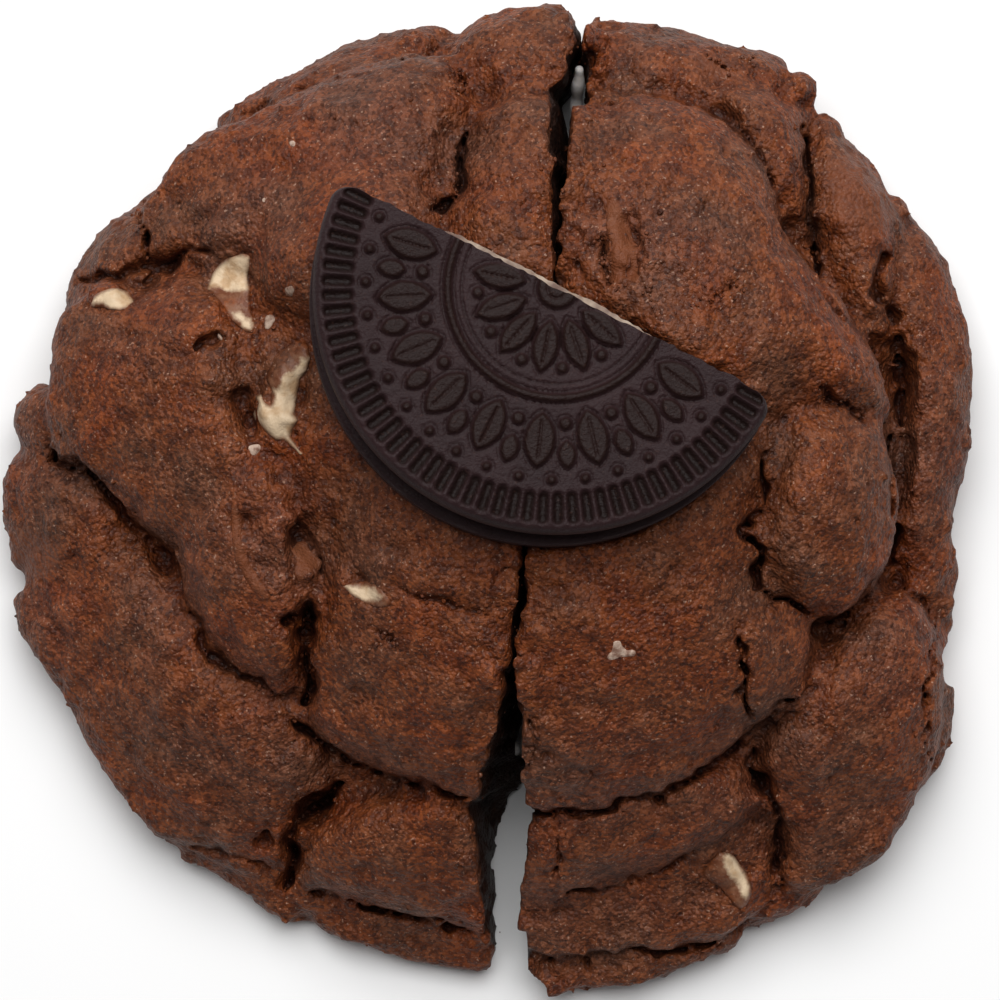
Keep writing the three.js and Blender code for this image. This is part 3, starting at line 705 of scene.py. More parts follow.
def ramp(tree, factor, stops):
    node = new_node(tree, "ShaderNodeValToRGB", Fac=factor)
    elements = node.color_ramp.elements
    while len(elements) < len(stops):
        elements.new(0.5)
    for element, (at, colour) in zip(elements, stops):
        element.position = at
        element.color = (*colour, 1)
    return node.outputs["Color"]


def mix(tree, factor, first, second, blend="MIX"):
    node = new_node(tree, "ShaderNodeMix", {"data_type": "RGBA", "blend_type": blend})
    for socket, value in zip((node.inputs[0], node.inputs[6], node.inputs[7]), (factor, first, second)):
        plug(tree, socket, value)
    return node.outputs[2]


def attribute(tree, name):
    return new_node(tree, "ShaderNodeAttribute", {"attribute_name": name}).outputs["Fac"]


def spread(tree, value, low, high, first=0.0, last=1.0):
    """A value carried from one range to another and held there."""
    return new_node(tree, "ShaderNodeMapRange", Value=value, From_Min=low, From_Max=high, To_Min=first,
                    To_Max=last).outputs["Result"]


CELL_WARP = 0.6  # how far a cell's outline wanders, in cells


def cells(tree, scale, output="Color"):
    """Small cells, each with its own shade, or the distance from the middle of the nearest."""
    spot = position(tree)
    warp = new_node(tree, "ShaderNodeTexNoise", Vector=spot, Scale=scale * 0.8, Detail=1.0).outputs["Color"]
    moved = calculate(tree, "ShaderNodeVectorMath", "MULTIPLY_ADD", warp, [CELL_WARP / scale] * 3, spot)
    return new_node(tree, "ShaderNodeTexVoronoi", Vector=moved, Scale=scale).outputs[output]


def finish(tree, shader, colour, roughness, specular, layers):
    """Gives the shader its colour, its shine and fine relief from (height, strength, distance) layers."""
    tree.links.new(colour, shader.inputs["Base Color"])
    shader.inputs["Roughness"].default_value = roughness
    shader.inputs["Specular IOR Level"].default_value = specular
    normal = None
    for height, strength, distance in layers:
        node = new_node(tree, "ShaderNodeBump", Height=height, Strength=strength, Distance=distance)
        if normal is not None:
            tree.links.new(normal, node.inputs["Normal"])
        normal = node.outputs["Normal"]
    tree.links.new(normal, shader.inputs["Normal"])


RUST, COCOA, UMBER = (0.124, 0.0232, 0.0034), (0.114, 0.0264, 0.0057), (0.092, 0.0285, 0.0108)
PALE_HAZE = (0.082, 0.031, 0.018)
PALE_SPECK = (0.42, 0.25, 0.17)
SMOOTH_CRUST = (0.134, 0.039, 0.0155)
# Near black for the cut face: partly its darker crumb, mostly painted shade of the deep narrow cut.
CUT_CRUMB_AND_SHADE = (0.012, 0.004, 0.002)
# Shades that a colour is multiplied by, from the dark end to the light end.
MOTTLE = [(0.36, (0.66, 0.63, 0.6)), (0.5, (1, 1, 1)), (0.66, (1.26, 1.29, 1.34))]
GRAIN_SHADES = [(0.25, (0.56, 0.52, 0.5)), (0.5, (1, 1, 1)), (0.75, (1.48, 1.58, 1.7))]
DARK_SPECKS = [(0.3, (0.35, 0.3, 0.28)), (0.42, (1, 1, 1))]
# Painted shade, darker and greyer, in hollows and creases, and painted light, lighter and cooler, on
# ridges.
PAINTED_SHADE_AND_RIDGE_LIGHT = [(0.0, (0.32, 0.26, 0.24)), (0.5, (0.95, 0.93, 0.92)), (1.0, (1.12, 1.14, 1.18))]
WAFER_FLAT = [(0.3, (0.017, 0.0076, 0.008)), (0.7, (0.025, 0.0112, 0.0118))]
# The second colour is painted shade for the pressed grooves.
WAFER_RAISED, WAFER_GROOVE_SHADE = (0.0135, 0.0052, 0.0042), (0.0075, 0.0028, 0.0022)
WAFER_DUST = (0.05, 0.022, 0.016)
CHIP_PALE = [(0.35, (0.46, 0.295, 0.162)), (0.5, (0.6, 0.445, 0.29))]
CHIP_TAN = [(0.42, (0.125, 0.038, 0.015)), (0.58, (0.205, 0.09, 0.047))]
MILK_BROWN = [(0.35, (0.136, 0.037, 0.0125)), (0.65, (0.172, 0.055, 0.0225))]
FLECK_PALE = [(0.4, (0.2, 0.105, 0.07)), (0.6, (0.46, 0.33, 0.25))]


def crust_colour(tree):
    """The baked crust: soft patches of hue, grains of uneven shade, and a few dark and pale specks."""
    colour = ramp(tree, grain(tree, 130, 4, 0.6), [(0.34, RUST), (0.5, COCOA), (0.66, UMBER)])
    colour = mix(tree, spread(tree, grain(tree, 48, 3, 0.6), 0.5, 0.68, 0, 0.45), colour, PALE_HAZE)
    colour = mix(tree, 1.0, colour, ramp(tree, grain(tree, 520, 3, 0.6), MOTTLE), "MULTIPLY")
    colour = mix(tree, 0.85, colour, ramp(tree, cells(tree, 2600), GRAIN_SHADES), "MULTIPLY")
    colour = mix(tree, 0.8, colour, ramp(tree, grain(tree, 1500, 3, 0.6), DARK_SPECKS), "MULTIPLY")
    return mix(tree, spread(tree, grain(tree, 3000, 2, 0.5), 0.64, 0.74, 0, 0.55), colour, PALE_SPECK)


def dough_material():
    material, tree, shader = nodes_of("cocoa_dough")
    smooth = attribute(tree, "smooth")
    colour = mix(tree, spread(tree, smooth, 0, 1, 0, 0.6), crust_colour(tree), SMOOTH_CRUST)
    # Painted shade: the crust darker in hollows and creases, and painted light on ridges.
    painted_shade_factor = spread(tree, attribute(tree, "painted_shade_bend"), -0.45, 0.3)
    colour = mix(tree, 1.0, colour, ramp(tree, painted_shade_factor, PAINTED_SHADE_AND_RIDGE_LIGHT), "MULTIPLY")
    # The cut face: darker crumb and painted shade of the deep narrow cut.
    colour = mix(tree, spread(tree, attribute(tree, "cut"), 0, 1, 0, 0.92), colour, CUT_CRUMB_AND_SHADE)
    rough = spread(tree, smooth, 0, 1, 1.0, 0.3)
    fine = calculate(tree, "ShaderNodeMath", "MULTIPLY", grain(tree, 3600, 2, 0.6), rough)
    finish(tree, shader, colour, 0.55, 0.24, [(cells(tree, 1300, "Distance"), 0.25, -0.0005),
                                              (cells(tree, 2400, "Distance"), 0.5, -0.0004),
                                              (fine, 0.4, 0.0003)])
    return material


def wafer_material():
    material, tree, shader = nodes_of("dark_wafer")
    relief = attribute(tree, "relief")
    colour = ramp(tree, grain(tree, 160, 4), WAFER_FLAT)
    colour = mix(tree, spread(tree, relief, 0.02, 0.2), colour, WAFER_RAISED)
    # Painted shade in the pressed grooves.
    colour = mix(tree, spread(tree, relief, -0.02, -0.35), colour, WAFER_GROOVE_SHADE)
    colour = mix(tree, spread(tree, grain(tree, 3600, 2, 0.6), 0.62, 0.74, 0, 0.5), colour, WAFER_DUST)
    finish(tree, shader, colour, 0.5, 0.13, [(grain(tree, 900, 3, 0.6), 0.35, 0.0003),
                                             (grain(tree, 3000, 3, 0.65), 0.5, 0.0003)])
    return material


def cream_material(name, light, dark, roughness):
    material, tree, shader = nodes_of(name)
    colour = ramp(tree, grain(tree, 420, 3), [(0.35, dark), (0.6, light)])
    finish(tree, shader, colour, roughness, 0.5, [(grain(tree, 900, 3, 0.6), 0.35, 0.0003)])
    shader.inputs["Subsurface Weight"].default_value = 0.15
    shader.inputs["Subsurface Radius"].default_value = (0.002, 0.0015, 0.001)
    shader.inputs["Subsurface Scale"].default_value = 1.0
    return material


def chip_material():
    """White chocolate, tan where it is smeared and the crust's colour where it is worn or at its rim."""
    material, tree, shader = nodes_of("white_chocolate")
    skin = crust_colour(tree)
    worn = calculate(tree, "ShaderNodeMath", "MULTIPLY_ADD", grain(tree, 900, 4, 0.65), 1.3,
                     attribute(tree, "smear"))
    colour = mix(tree, spread(tree, worn, 0.8, 1.25), ramp(tree, grain(tree, 500, 3), CHIP_PALE),
                 ramp(tree, grain(tree, 700, 4, 0.65), CHIP_TAN))
    colour = mix(tree, spread(tree, worn, 1.5, 2.2, 0, 0.8), colour, skin)
    colour = mix(tree, spread(tree, attribute(tree, "rim"), 0, 1, 0.85, 0), colour, skin)
    finish(tree, shader, colour, 0.48, 0.25, [(grain(tree, 700, 3, 0.6), 0.4, 0.0004),
                                              (grain(tree, 3000, 2, 0.6), 0.3, 0.0003)])
    return material


def milk_material():
    material, tree, shader = nodes_of("milk_chocolate")
    inner = ramp(tree, grain(tree, 300, 4), MILK_BROWN)
    colour = mix(tree, spread(tree, attribute(tree, "rim"), 0, 1, 0, 0.8), crust_colour(tree), inner)
    finish(tree, shader, colour, 0.55, 0.18, [(grain(tree, 900, 3, 0.6), 0.5, 0.0005),
                                              (grain(tree, 3600, 2, 0.6), 0.45, 0.0003)])
    return material


def fleck_material():
    material, tree, shader = nodes_of("pale_fleck")
    colour = ramp(tree, grain(tree, 1500, 3), FLECK_PALE)
    finish(tree, shader, colour, 0.55, 0.3, [(grain(tree, 1600, 3, 0.6), 0.5, 0.0003)])
    return material


def add_piece(name, mesh, material, replaced=()):
    piece = bpy.data.objects.get(name) or bpy.data.objects.new(name, mesh)
    if piece.name not in bpy.context.scene.collection.objects:
        bpy.context.scene.collection.objects.link(piece)
    piece.data.materials.clear()
    piece.data.materials.append(material)
    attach(piece, BODY)
    if replaced:
        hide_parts(*replaced)
    return piece


DOUGH = dough_material()
HALVES = {"dough_left": -1, "dough_right": 1}
halves, fields = [], []
for node, side in HALVES.items():
    half, field = dough_half(node, side)
    add_piece(half.name, half.data, DOUGH, [node])
    halves.append(half)
    fields.append(field)


# ---- Filling ----
CORE = cream_material("white_core", (0.78, 0.72, 0.68), (0.62, 0.55, 0.5), 0.55)
# Where the filling has oozed out of the cut face: pixel, height and radius.
OOZE = {"left": ((496, 732), 11.0, 0.6), "right": ((513, 749), 4.5, 0.7)}
FILLING_INSET = 0.5  # how far inside its solid's faces the filling lies
FILLING_VOXEL, FILLING_BAND, FILLING_SEED = 0.3, 8, 31
for side, (pixel, height, radius) in OOZE.items():
    field = field_of("filling_" + side, FILLING_VOXEL, FILLING_BAND)
    x, y, z = np.meshgrid(*field.axes, indexing="ij", sparse=True)
    cx, cy = place(pixel, height)
    ball = np.sqrt((x - cx) ** 2 + (y - cy) ** 2 + (z - height) ** 2 * 0.4) - radius
    field.values = np.minimum(field.blurred(0.5) + FILLING_INSET, ball)
    field.values = field.values - 0.2 * noise(field.axes, 1.6, FILLING_SEED)
    field.values = field.values - 0.12 * noise(field.axes, 0.8, FILLING_SEED + 1)
    name = "filling_" + side + "_cream"
    add_piece(name, field.mesh(name, scraps=True), CORE, ["filling_" + side])


# ---- Chips and smears, cut flush with the crust ----
trees = []
depsgraph = bpy.context.evaluated_depsgraph_get()
for half in halves:
    trees.append(BVHTree.FromObject(half, depsgraph))


def on_dough(pixel, lift=0.0):
    """The place on the dough under a photograph's pixel, in millimetres, raised by lift."""
    eye = Vector((AXIS[0], AXIS[1], CAMERA_HEIGHT)) * MM
    aim = Vector((*place(pixel, 0.0), 0.0)) * MM
    hits = [tree.ray_cast(eye, (aim - eye).normalized())[0] for tree in trees]
    spots = [hit for hit in hits if hit is not None]
    best = max(spots, key=lambda hit: hit.z) if spots else aim
    return np.array(best) / MM + np.array([0, 0, lift])


# Pieces of chocolate: the outline, its bright parts, and how far the piece stands proud.
WHITE = {
    "white_chip_left_back": ([(206, 290), (209, 278), (213, 270), (219, 264), (227, 258), (236, 255),
     (243, 254), (251, 257), (250, 270), (248, 279), (250, 290), (252, 300), (253, 312), (258, 324),
     (254, 333), (246, 334), (238, 327), (230, 318), (222, 305), (214, 297)], [[(207, 288), (212, 272),
     (220, 265), (235, 256), (252, 256), (248, 288), (226, 289), (214, 286)], [(234, 314), (240, 313),
     (254, 325), (251, 331), (243, 327)]], 0.5),
    "white_chip_left_edge": ([(90, 307), (90, 299), (94, 294), (99, 290), (108, 287), (117, 286),
     (124, 289), (129, 293), (134, 299), (134, 305), (130, 308), (122, 311), (112, 311), (103, 309),
     (95, 309)], [[(92, 303), (95, 296), (101, 292), (110, 289), (118, 288), (127, 293), (132, 300),
     (129, 307), (120, 310), (111, 308), (105, 302), (97, 301)]], 0.6),
    "white_chip_by_biscuit": ([(300, 341), (308, 344), (311, 358), (306, 372), (300, 380), (298, 392),
     (297, 405), (294, 414), (299, 420), (294, 428), (290, 436), (293, 441), (305, 455), (300, 457),
     (289, 444), (284, 439), (276, 441), (270, 436), (262, 428), (253, 421), (250, 414), (255, 408),
     (257, 402), (254, 396), (261, 394), (265, 401), (270, 405), (270, 398), (272, 390), (266, 380),
     (267, 370), (272, 360), (280, 350), (290, 344)], [[(311, 358), (306, 372), (300, 380), (297, 405),
     (294, 414), (299, 420), (290, 436), (305, 455), (300, 457), (288, 442), (276, 441), (262, 428),
     (250, 415), (257, 402), (255, 395), (262, 395), (267, 404), (273, 408), (277, 402), (273, 390),
     (283, 386), (285, 378), (296, 370), (303, 360)]], 0.8),
    "white_chip_front_left": ([(329, 571), (335, 572), (345, 582), (356, 583), (366, 582), (376, 583),
     (384, 588), (389, 594), (391, 602), (388, 607), (380, 608), (370, 605), (360, 602), (350, 597),
     (343, 590), (335, 580)], [[(334, 575), (346, 585), (362, 588), (373, 588), (381, 596), (372, 600),
     (361, 598), (350, 592)]], 0.35),
    "white_chip_front": ([(720, 851), (729, 851), (736, 856), (742, 866), (748, 876), (751, 886),
     (751, 896), (748, 908), (740, 911), (733, 902), (724, 893), (713, 884), (703, 876), (700, 869),
     (708, 861)], [[(721, 854), (729, 853), (736, 859), (743, 870), (749, 883), (749, 898), (745, 900),
     (741, 888), (733, 877), (725, 866)]], 0.9),
}
MILK = {
    "milk_chip_back": ([(605, 206), (611, 192), (619, 198), (626, 213), (632, 230), (638, 250), (641, 268),
     (642, 284), (634, 287), (626, 281), (618, 285), (610, 283), (607, 262), (606, 240)], [], 0.3),
    "milk_chip_left": ([(230, 505), (237, 502), (242, 520), (243, 540), (248, 557), (256, 571), (264, 584),
     (272, 598), (263, 602), (252, 590), (243, 577), (235, 561), (231, 540)], [], 0.35),
    "milk_chip_left_front": ([(289, 551), (297, 539), (306, 543), (313, 552), (322, 560), (319, 571),
     (309, 577), (300, 583), (292, 571), (296, 560)], [], 0.35),
}
SLAB_VOXEL = 0.16
SLAB_DEPTH = 2.0
BELOW_ALL = -50.0  # a height below anything
SMEAR_REACH = 1.0  # how far from its bright part a chip turns to the colour of the crust
MOST_SMEAR = 1.6
SLAB_RIM = 0.45  # how far in from a slab's outline its colour is its own
CHIP_LIFT = 0.25
SMEAR_LIFT = 0.2
SLAB_NOISE = ((1.2, 0.14), (0.6, 0.12))  # wave length and height of each layer of a slab's rough outline
SLAB_WAVE, SLAB_BUMPS = 1.1, 0.1  # wave length and height of the bumps on its top
SLAB_SHOULDER = 1.2  # how far in from the outline the top is rounded
SLAB_MARGIN, SLAB_FLOOR = 1.0, 0.6  # room round a slab in its field, at the sides and below
SLAB_SLOPE = 0.8  # what turns a height above the top into about a distance from it
SLAB_BLUR = 0.15
LEAST_SMEAR = 0.3


def slab(name, row, seed):
    """A lump of that outline let into the crust, standing a little proud of it."""
    outline, bright, proud, lift = row
    middle = on_dough(np.mean(outline, axis=0))
    shape = np.array([place(pixel, middle[2]) for pixel in outline])
    low = np.array([*(shape.min(0) - SLAB_MARGIN), 0])
    high = np.array([*(shape.max(0) + SLAB_MARGIN), 0])
    across = [np.arange(low[i], high[i], SLAB_VOXEL) for i in range(2)]
    x, y = np.meshgrid(*across, indexing="ij")
    crust = np.full(x.shape, BELOW_ALL)
    for field in fields:
        crust = np.maximum(crust, smooth_top(field, x, y))
    outside = polygon_distance(x, y, shape) + layered(across, SLAB_NOISE, seed)
    bumps = SLAB_BUMPS * noise(across, SLAB_WAVE, seed + len(SLAB_NOISE))
    dome = lift + proud * np.sqrt(np.clip(-outside / SLAB_SHOULDER, 0, 1)) + bumps
    low[2] = crust[outside < 0].min() - SLAB_DEPTH - SLAB_FLOOR
    levels = np.arange(low[2], crust[outside < 0].max() + proud + SLAB_MARGIN, SLAB_VOXEL)
    z = levels[None, None, :]
    surface = (crust + dome)[:, :, None]
    values = np.maximum(np.maximum(outside[:, :, None], (z - surface) * SLAB_SLOPE),
                        (crust - SLAB_DEPTH)[:, :, None] - z)
    field = Field(values.astype(np.float32), low, SLAB_VOXEL)
    field.values = np.clip(field.blurred(SLAB_BLUR), -1, 1)
    mesh = field.mesh(name)
    points = vertices_of(mesh)
    smear = np.full(len(points), MOST_SMEAR)
    for patch in bright:
        edge = np.array([place(pixel, middle[2]) for pixel in patch])
        far = polygon_distance(points[:, 0], points[:, 1], edge)
        smear = np.minimum(smear, np.clip(LEAST_SMEAR + far / SMEAR_REACH, 0, MOST_SMEAR))
    set_attribute(mesh, "smear", smear)
    inside = -polygon_distance(points[:, 0], points[:, 1], shape)
    set_attribute(mesh, "rim", np.clip(inside / SLAB_RIM, 0, 1))
    return mesh


def smooth_top(field, x, y):
    """Height of the half's top at places in the plan, smoothed over half a millimetre."""
    top = field.top()
    padded = np.pad(top, 1, mode="edge")
    top = sum(padded[i:i + top.shape[0], j:j + top.shape[1]] for i in range(3) for j in range(3)) / 9
    spot = np.stack([x.ravel(), y.ravel()], axis=1)
    cell = (spot - field.low[:2]) / field.voxel
    inside = np.all((cell > 0) & (cell < np.array(top.shape) - 1), axis=1)
    return np.where(inside, read_between(top, cell), BELOW_ALL).reshape(x.shape)


# Flecks that no solid stands for: the outline, and how far the fleck stands proud.
FLECKS = {
    "fleck_below_chip": ([(247, 448), (250, 444), (257, 443), (262, 445), (261, 452), (256, 456),
     (250, 456)], 0.35),
    "fleck_in_hollow": ([(214, 331), (218, 331), (222, 335), (225, 341), (221, 342), (217, 337)], 0.4),
    "fleck_front": ([(612, 640), (621, 638), (624, 644), (627, 650), (632, 648), (637, 652), (636, 657),
     (627, 658), (618, 660), (607, 661), (605, 656), (611, 651)], 0.15),
    "fleck_near_biscuit": ([(285, 287), (293, 284), (299, 287), (297, 293), (291, 297), (285, 293)], 0.3),
    "fleck_above_chip": ([(267, 316), (273, 314), (275, 320), (271, 328), (265, 330), (264, 322)], 0.3),
    "fleck_back": ([(259, 196), (266, 194), (269, 200), (266, 207), (260, 206)], 0.2),
    "fleck_top": ([(289, 141), (295, 140), (297, 146), (292, 149)], 0.2),
}


CHIP_SEED, FLECK_SEED, SEEDS_EACH = 90, 160, 5
CHIP_FINISH = chip_material()
FLECK_FINISH = fleck_material()
for k, (name, (outline, proud)) in enumerate(FLECKS.items()):
    mesh = slab(name, (outline, [], proud, CHIP_LIFT), FLECK_SEED + SEEDS_EACH * k)
    add_piece(name, mesh, FLECK_FINISH)
MILK_FINISH = milk_material()
for rows, look, slot, lift in ((WHITE, CHIP_FINISH, "white_chip", CHIP_LIFT),
                               (MILK, MILK_FINISH, "milk_chip", SMEAR_LIFT)):
    for k, (node, row) in enumerate(rows.items()):
        name = node + "_piece"
        add_piece(name, slab(name, (*row, lift), CHIP_SEED + SEEDS_EACH * k), look, [node])


# ---- Sandwich biscuit, in its own frame: the cut edge along X, the round side towards -Y ----
RADIUS = 22.7
WAFER = 3.1  # thickness of a wafer
CREAM = 2.0  # thickness of the cream
GAP = 0.3  # between them
CREAM_INSET = 1.1
UPPER_SHIFT = (-0.55, -0.4)
LOWER_SHIFT = (-0.45, -1.3)
BISCUIT_PLACE = Vector((7.1, 19.5, 29.8))
BISCUIT_TURN = math.radians(-26.85)
BISCUIT_TILT = math.radians(4.5)
STANDING = Matrix.Translation(BISCUIT_PLACE) @ Euler((-BISCUIT_TILT, 0, BISCUIT_TURN)).to_matrix().to_4x4()
FLUTES = 47
LEAVES = 9
PETALS = 6
CORNER = 2.0  # radius to which the wafer's two corners are worn


def rise(distance, soft):
    """From 1 inside an outline to 0 outside it, over a soft edge."""
    t = np.clip(0.5 - distance / soft, 0, 1)
    return t * t * (3 - 2 * t)


def around(count, shift=0.5):
    return [math.pi + math.pi * (i + shift) / count for i in range(count)]


def between(count):
    return [math.pi + math.pi * i / count for i in range(1, count)]


def petal(x, y, radius, angle, half_length, half_width):
    """Distance outside a pointed oval that lies along a radius, and the distance from its middle line."""
    along = x * math.cos(angle) + y * math.sin(angle) - radius
    across = -x * math.sin(angle) + y * math.cos(angle)
    bow = (half_length ** 2 - half_width ** 2) / (2 * half_width)
    return np.hypot(along, np.abs(across) + bow) - math.hypot(half_length, bow), np.abs(across)


def bead(x, y, radius, angle, size):
    return np.hypot(x - radius * math.cos(angle), y - radius * math.sin(angle)) - size


def pressed(outside, height, moat=0.26):
    """A raised shape with a soft edge and a groove pressed round it."""
    return height * rise(outside, 0.45) - moat * rise(np.abs(outside - 0.28) - 0.05, 0.5)


def embossing(x, y):
    """Height of the wafer's pressed face over its plain level: a common garland of leaves and beads."""
    r = np.hypot(x, y)
    angle = np.arctan2(y, x) % (2 * math.pi)
    pitch = math.pi / FLUTES
    across = (angle - math.pi) / pitch
    from_flute = np.abs(across - np.floor(across) - 0.5) * pitch * r
    outside = np.hypot(from_flute, np.maximum(np.abs(r - 20.45) - 1.0, 0)) - 0.42
    height = -0.5 * rise(outside, 0.8)
    for turn in around(LEAVES):
        outside, middle = petal(x, y, 14.2, turn, 2.5, 1.35)
        height += pressed(outside, 0.34) - 0.26 * rise(outside + 0.5, 0.3) * rise(middle - 0.06, 0.4)
    for turn in between(LEAVES):
        outside, _ = petal(x, y, 15.5, turn, 1.25, 0.75)
        height += pressed(outside, 0.32, 0.22)
        height += pressed(bead(x, y, 12.6, turn, 0.5), 0.32, 0.2)
    for turn in around(2 * LEAVES):
        height += pressed(bead(x, y, 17.8, turn, 0.36), 0.32, 0.18)
    height += pressed(np.abs(r - 10.2) - 0.3, 0.32)
    height -= 0.2 * rise(np.abs(r - 8.9) - 0.08, 0.4)
    for turn in around(PETALS):
        outside, middle = petal(x, y, 5.5, turn, 2.4, 1.1)
        height += pressed(outside, 0.34) - 0.26 * rise(outside + 0.45, 0.3) * rise(middle - 0.06, 0.4)
    for turn in between(PETALS):
        height += pressed(bead(x, y, 7.4, turn, 0.45), 0.3, 0.2)
    height += pressed(r - 1.8, 0.34) - 0.26 * rise(np.abs(r - 0.9) - 0.08, 0.4)
    return height


# The broken edge of the biscuit's layers.
EDGE_NOISE = ((1.7, 0.6), (0.6, 0.4))  # wave length and share of each layer of its roughness
EDGE_REACH = 0.8  # how far in from the edge that roughness goes
BACK_MIDDLE, BACK_HALF, BACK_FADE = -1.5, 10.5, 6.0  # the part that can stand out, and how it ends
EDGE_BAND = 1.2  # points of the wall nearer the middle plane than this are on the broken edge
WALL_WAVE, WALL_JAG = 0.9, 0.7
WALL_STEP, LEAST_STEPS = 0.35, 3  # height of one band of the wall, and the least number of bands


def disc_plan(radius, columns, rows):
    """x and y of a half disc's top, a row for each place along its rim, and the radius of the rim there."""
    u = np.linspace(0, math.pi, columns + 1)[:, None]
    t = np.linspace(0, 1, rows + 1)[None, :]
    from_corner = np.clip(np.minimum(u, math.pi - u) * radius / CORNER, 0, 1)
    rim_radius = radius - CORNER * (1 - np.sqrt(1 - (1 - from_corner) ** 2))
    x = -((radius - CORNER) * (1 - t) + rim_radius * t) * np.cos(u)
    y = -rim_radius * np.sin(u) * t
    return x, y, rim_radius


def broken(x, y, jag, back, seed):
    """y with the cut edge made rough, and standing out by back along its middle."""
    places = x[:, 0]
    rough = layered([places], EDGE_NOISE, seed)
    pull = np.exp(y / EDGE_REACH)
    proud = back * rise(np.abs(places - BACK_MIDDLE) - BACK_HALF, BACK_FADE)
    return y + proud[:, None] * pull + jag * rough[:, None] * pull


def top_faces(index):
    """Faces of a half disc's top, whose first row and last row of points are one corner each."""
    faces = []
    across, along = index.shape
    for i in range(across - 1):
        for j in range(along - 1):
            corners = [index[i, j], index[i, j + 1], index[i + 1, j + 1], index[i + 1, j]]
            if i == 0:
                corners = [index[0, -1], index[1, j + 1], index[1, j]]
            elif i == across - 2:
                corners = [index[i, j], index[i, j + 1], index[-1, -1]]
            faces.append([int(c) for c in corners])
    return faces


def wall_levels(rim, base, steps, jag, seed):
    """Rows of points from the rim straight down to base, rough along the broken edge."""
    levels = []
    for k in range(1, steps + 1):
        level = rim.copy()
        level[:, 2] = rim[:, 2] + (base - rim[:, 2]) * (k / steps)
        chatter = noise([level[:, 0], np.array([level[0, 2]])], WALL_WAVE, seed + len(EDGE_NOISE) + k)[:, 0]
        straight = np.abs(level[:, 1]) < EDGE_BAND
        level[:, 1] += np.where(straight, jag * WALL_JAG * chatter, 0)
        levels.append(level)
    return levels


def half_disc(name, radius, thickness, base, columns, rows, face, edge_ease, jag, seed, back=0.0):
    """A closed half disc. face(x, y) is the relief of its top, edge_ease how far its rim is rounded, jag
    how rough its cut edge is, and back how far that edge stands out along its middle."""
    x, y, rim_radius = disc_plan(radius, columns, rows)
    eased = np.clip((np.hypot(x, y) - (rim_radius - edge_ease)) / edge_ease, 0, 1)
    drop = edge_ease * (1 - np.sqrt(np.maximum(1 - eased ** 2, 0)))
    relief = face(x, y) * (1 - eased)
    top = np.stack([x, broken(x, y, jag, back, seed), base + thickness + relief - drop], axis=-1)
    top = top.reshape(-1, 3)
    index = np.arange(x.size).reshape(x.shape)
    rim = np.concatenate([index[1:-1, -1], index[-1, -1:], index[1:-1, 0][::-1], index[0, -1:]])
    levels = wall_levels(top[rim], base, max(LEAST_STEPS, int(thickness / WALL_STEP)), jag, seed)
    loops = [rim] + [x.size + len(rim) * k + np.arange(len(rim)) for k in range(len(levels))]
    faces = top_faces(index)
    for first, second in zip(loops, loops[1:]):
        ring = zip(first, second, np.roll(second, -1), np.roll(first, -1))
        faces += [[int(c) for c in corners] for corners in ring]
    faces.append([int(c) for c in loops[-1][::-1]])
    points = np.concatenate([top] + levels)
    made = bpy.data.meshes.new(name)
    made.from_pydata((points * MM).tolist(), [], faces)
    set_attribute(made, "relief", np.pad(relief.ravel(), (0, len(points) - relief.size)))
    made.validate()
    return made


def tidy(mesh, smooth_angle=50):
    """Drops unused corners, turns all faces outwards and shades smooth, with sharp edges kept."""
    shape = bmesh.new()
    shape.from_mesh(mesh)
    bmesh.ops.delete(shape, geom=[v for v in shape.verts if not v.link_faces], context="VERTS")
    bmesh.ops.recalc_face_normals(shape, faces=shape.faces)
    shape.to_mesh(mesh)
    shape.free()
    shade_smooth(mesh)
    mesh.set_sharp_from_angle(angle=math.radians(smooth_angle))
    return mesh


def stand(mesh, shift):
    """From the biscuit's own frame, moved by shift across and back, to where it stands on the cookie."""
    matrix = STANDING.copy()
    matrix.translation *= MM
    mesh.transform(matrix @ Matrix.Translation((shift[0] * MM, shift[1] * MM, 0)))
    return mesh


def plain(x, y):
    return 0.04 * np.sin(x * 0.9) * np.cos(y * 1.1)


WAFER_FINISH = wafer_material()
CREAM_FINISH = cream_material("biscuit_filling", (0.37, 0.275, 0.2), (0.12, 0.06, 0.038), 0.6)
cream_base = WAFER + GAP
top_base = cream_base + CREAM + GAP
# The biscuit's layers: what half_disc() needs, the shift, the finish, the slot and the node replaced.
LAYERS = {
    "biscuit_upper": (
        dict(radius=RADIUS, thickness=WAFER, base=top_base, columns=560, rows=160, face=embossing,
             edge_ease=1.1, jag=0.2, seed=51),
        UPPER_SHIFT, WAFER_FINISH, "wafer", "biscuit_wafer_top"),
    "biscuit_filling": (
        dict(radius=RADIUS - CREAM_INSET, thickness=CREAM, base=cream_base, columns=260, rows=30,
             face=plain, edge_ease=0.4, jag=0.22, seed=55, back=0.75),
        UPPER_SHIFT, CREAM_FINISH, "cream", "biscuit_cream"),
    "biscuit_lower": (
        dict(radius=RADIUS, thickness=WAFER, base=0.0, columns=320, rows=60, face=plain, edge_ease=0.3,
             jag=0.2, seed=58),
        LOWER_SHIFT, WAFER_FINISH, "wafer", "biscuit_wafer_bottom"),
}
for name, (form, shift, look, slot, node) in LAYERS.items():
    add_piece(name, stand(tidy(half_disc(name, **form)), shift), look, [node])


# ---- Crumbs ----
FINE_CRUMB = 0.2  # radius above which a crumb has more faces
FULL_TURN = 6.28
CRUMB_STRETCH, CRUMB_JITTER = (0.65, 1.2), 0.22
CRUMB_LIFT = 0.4  # how far a crumb's middle stands above the crust, in radii
SCATTER_SEED, CRUMB_SHAPE_SEED, PALE_ROD_SEED = 5, 6, 81


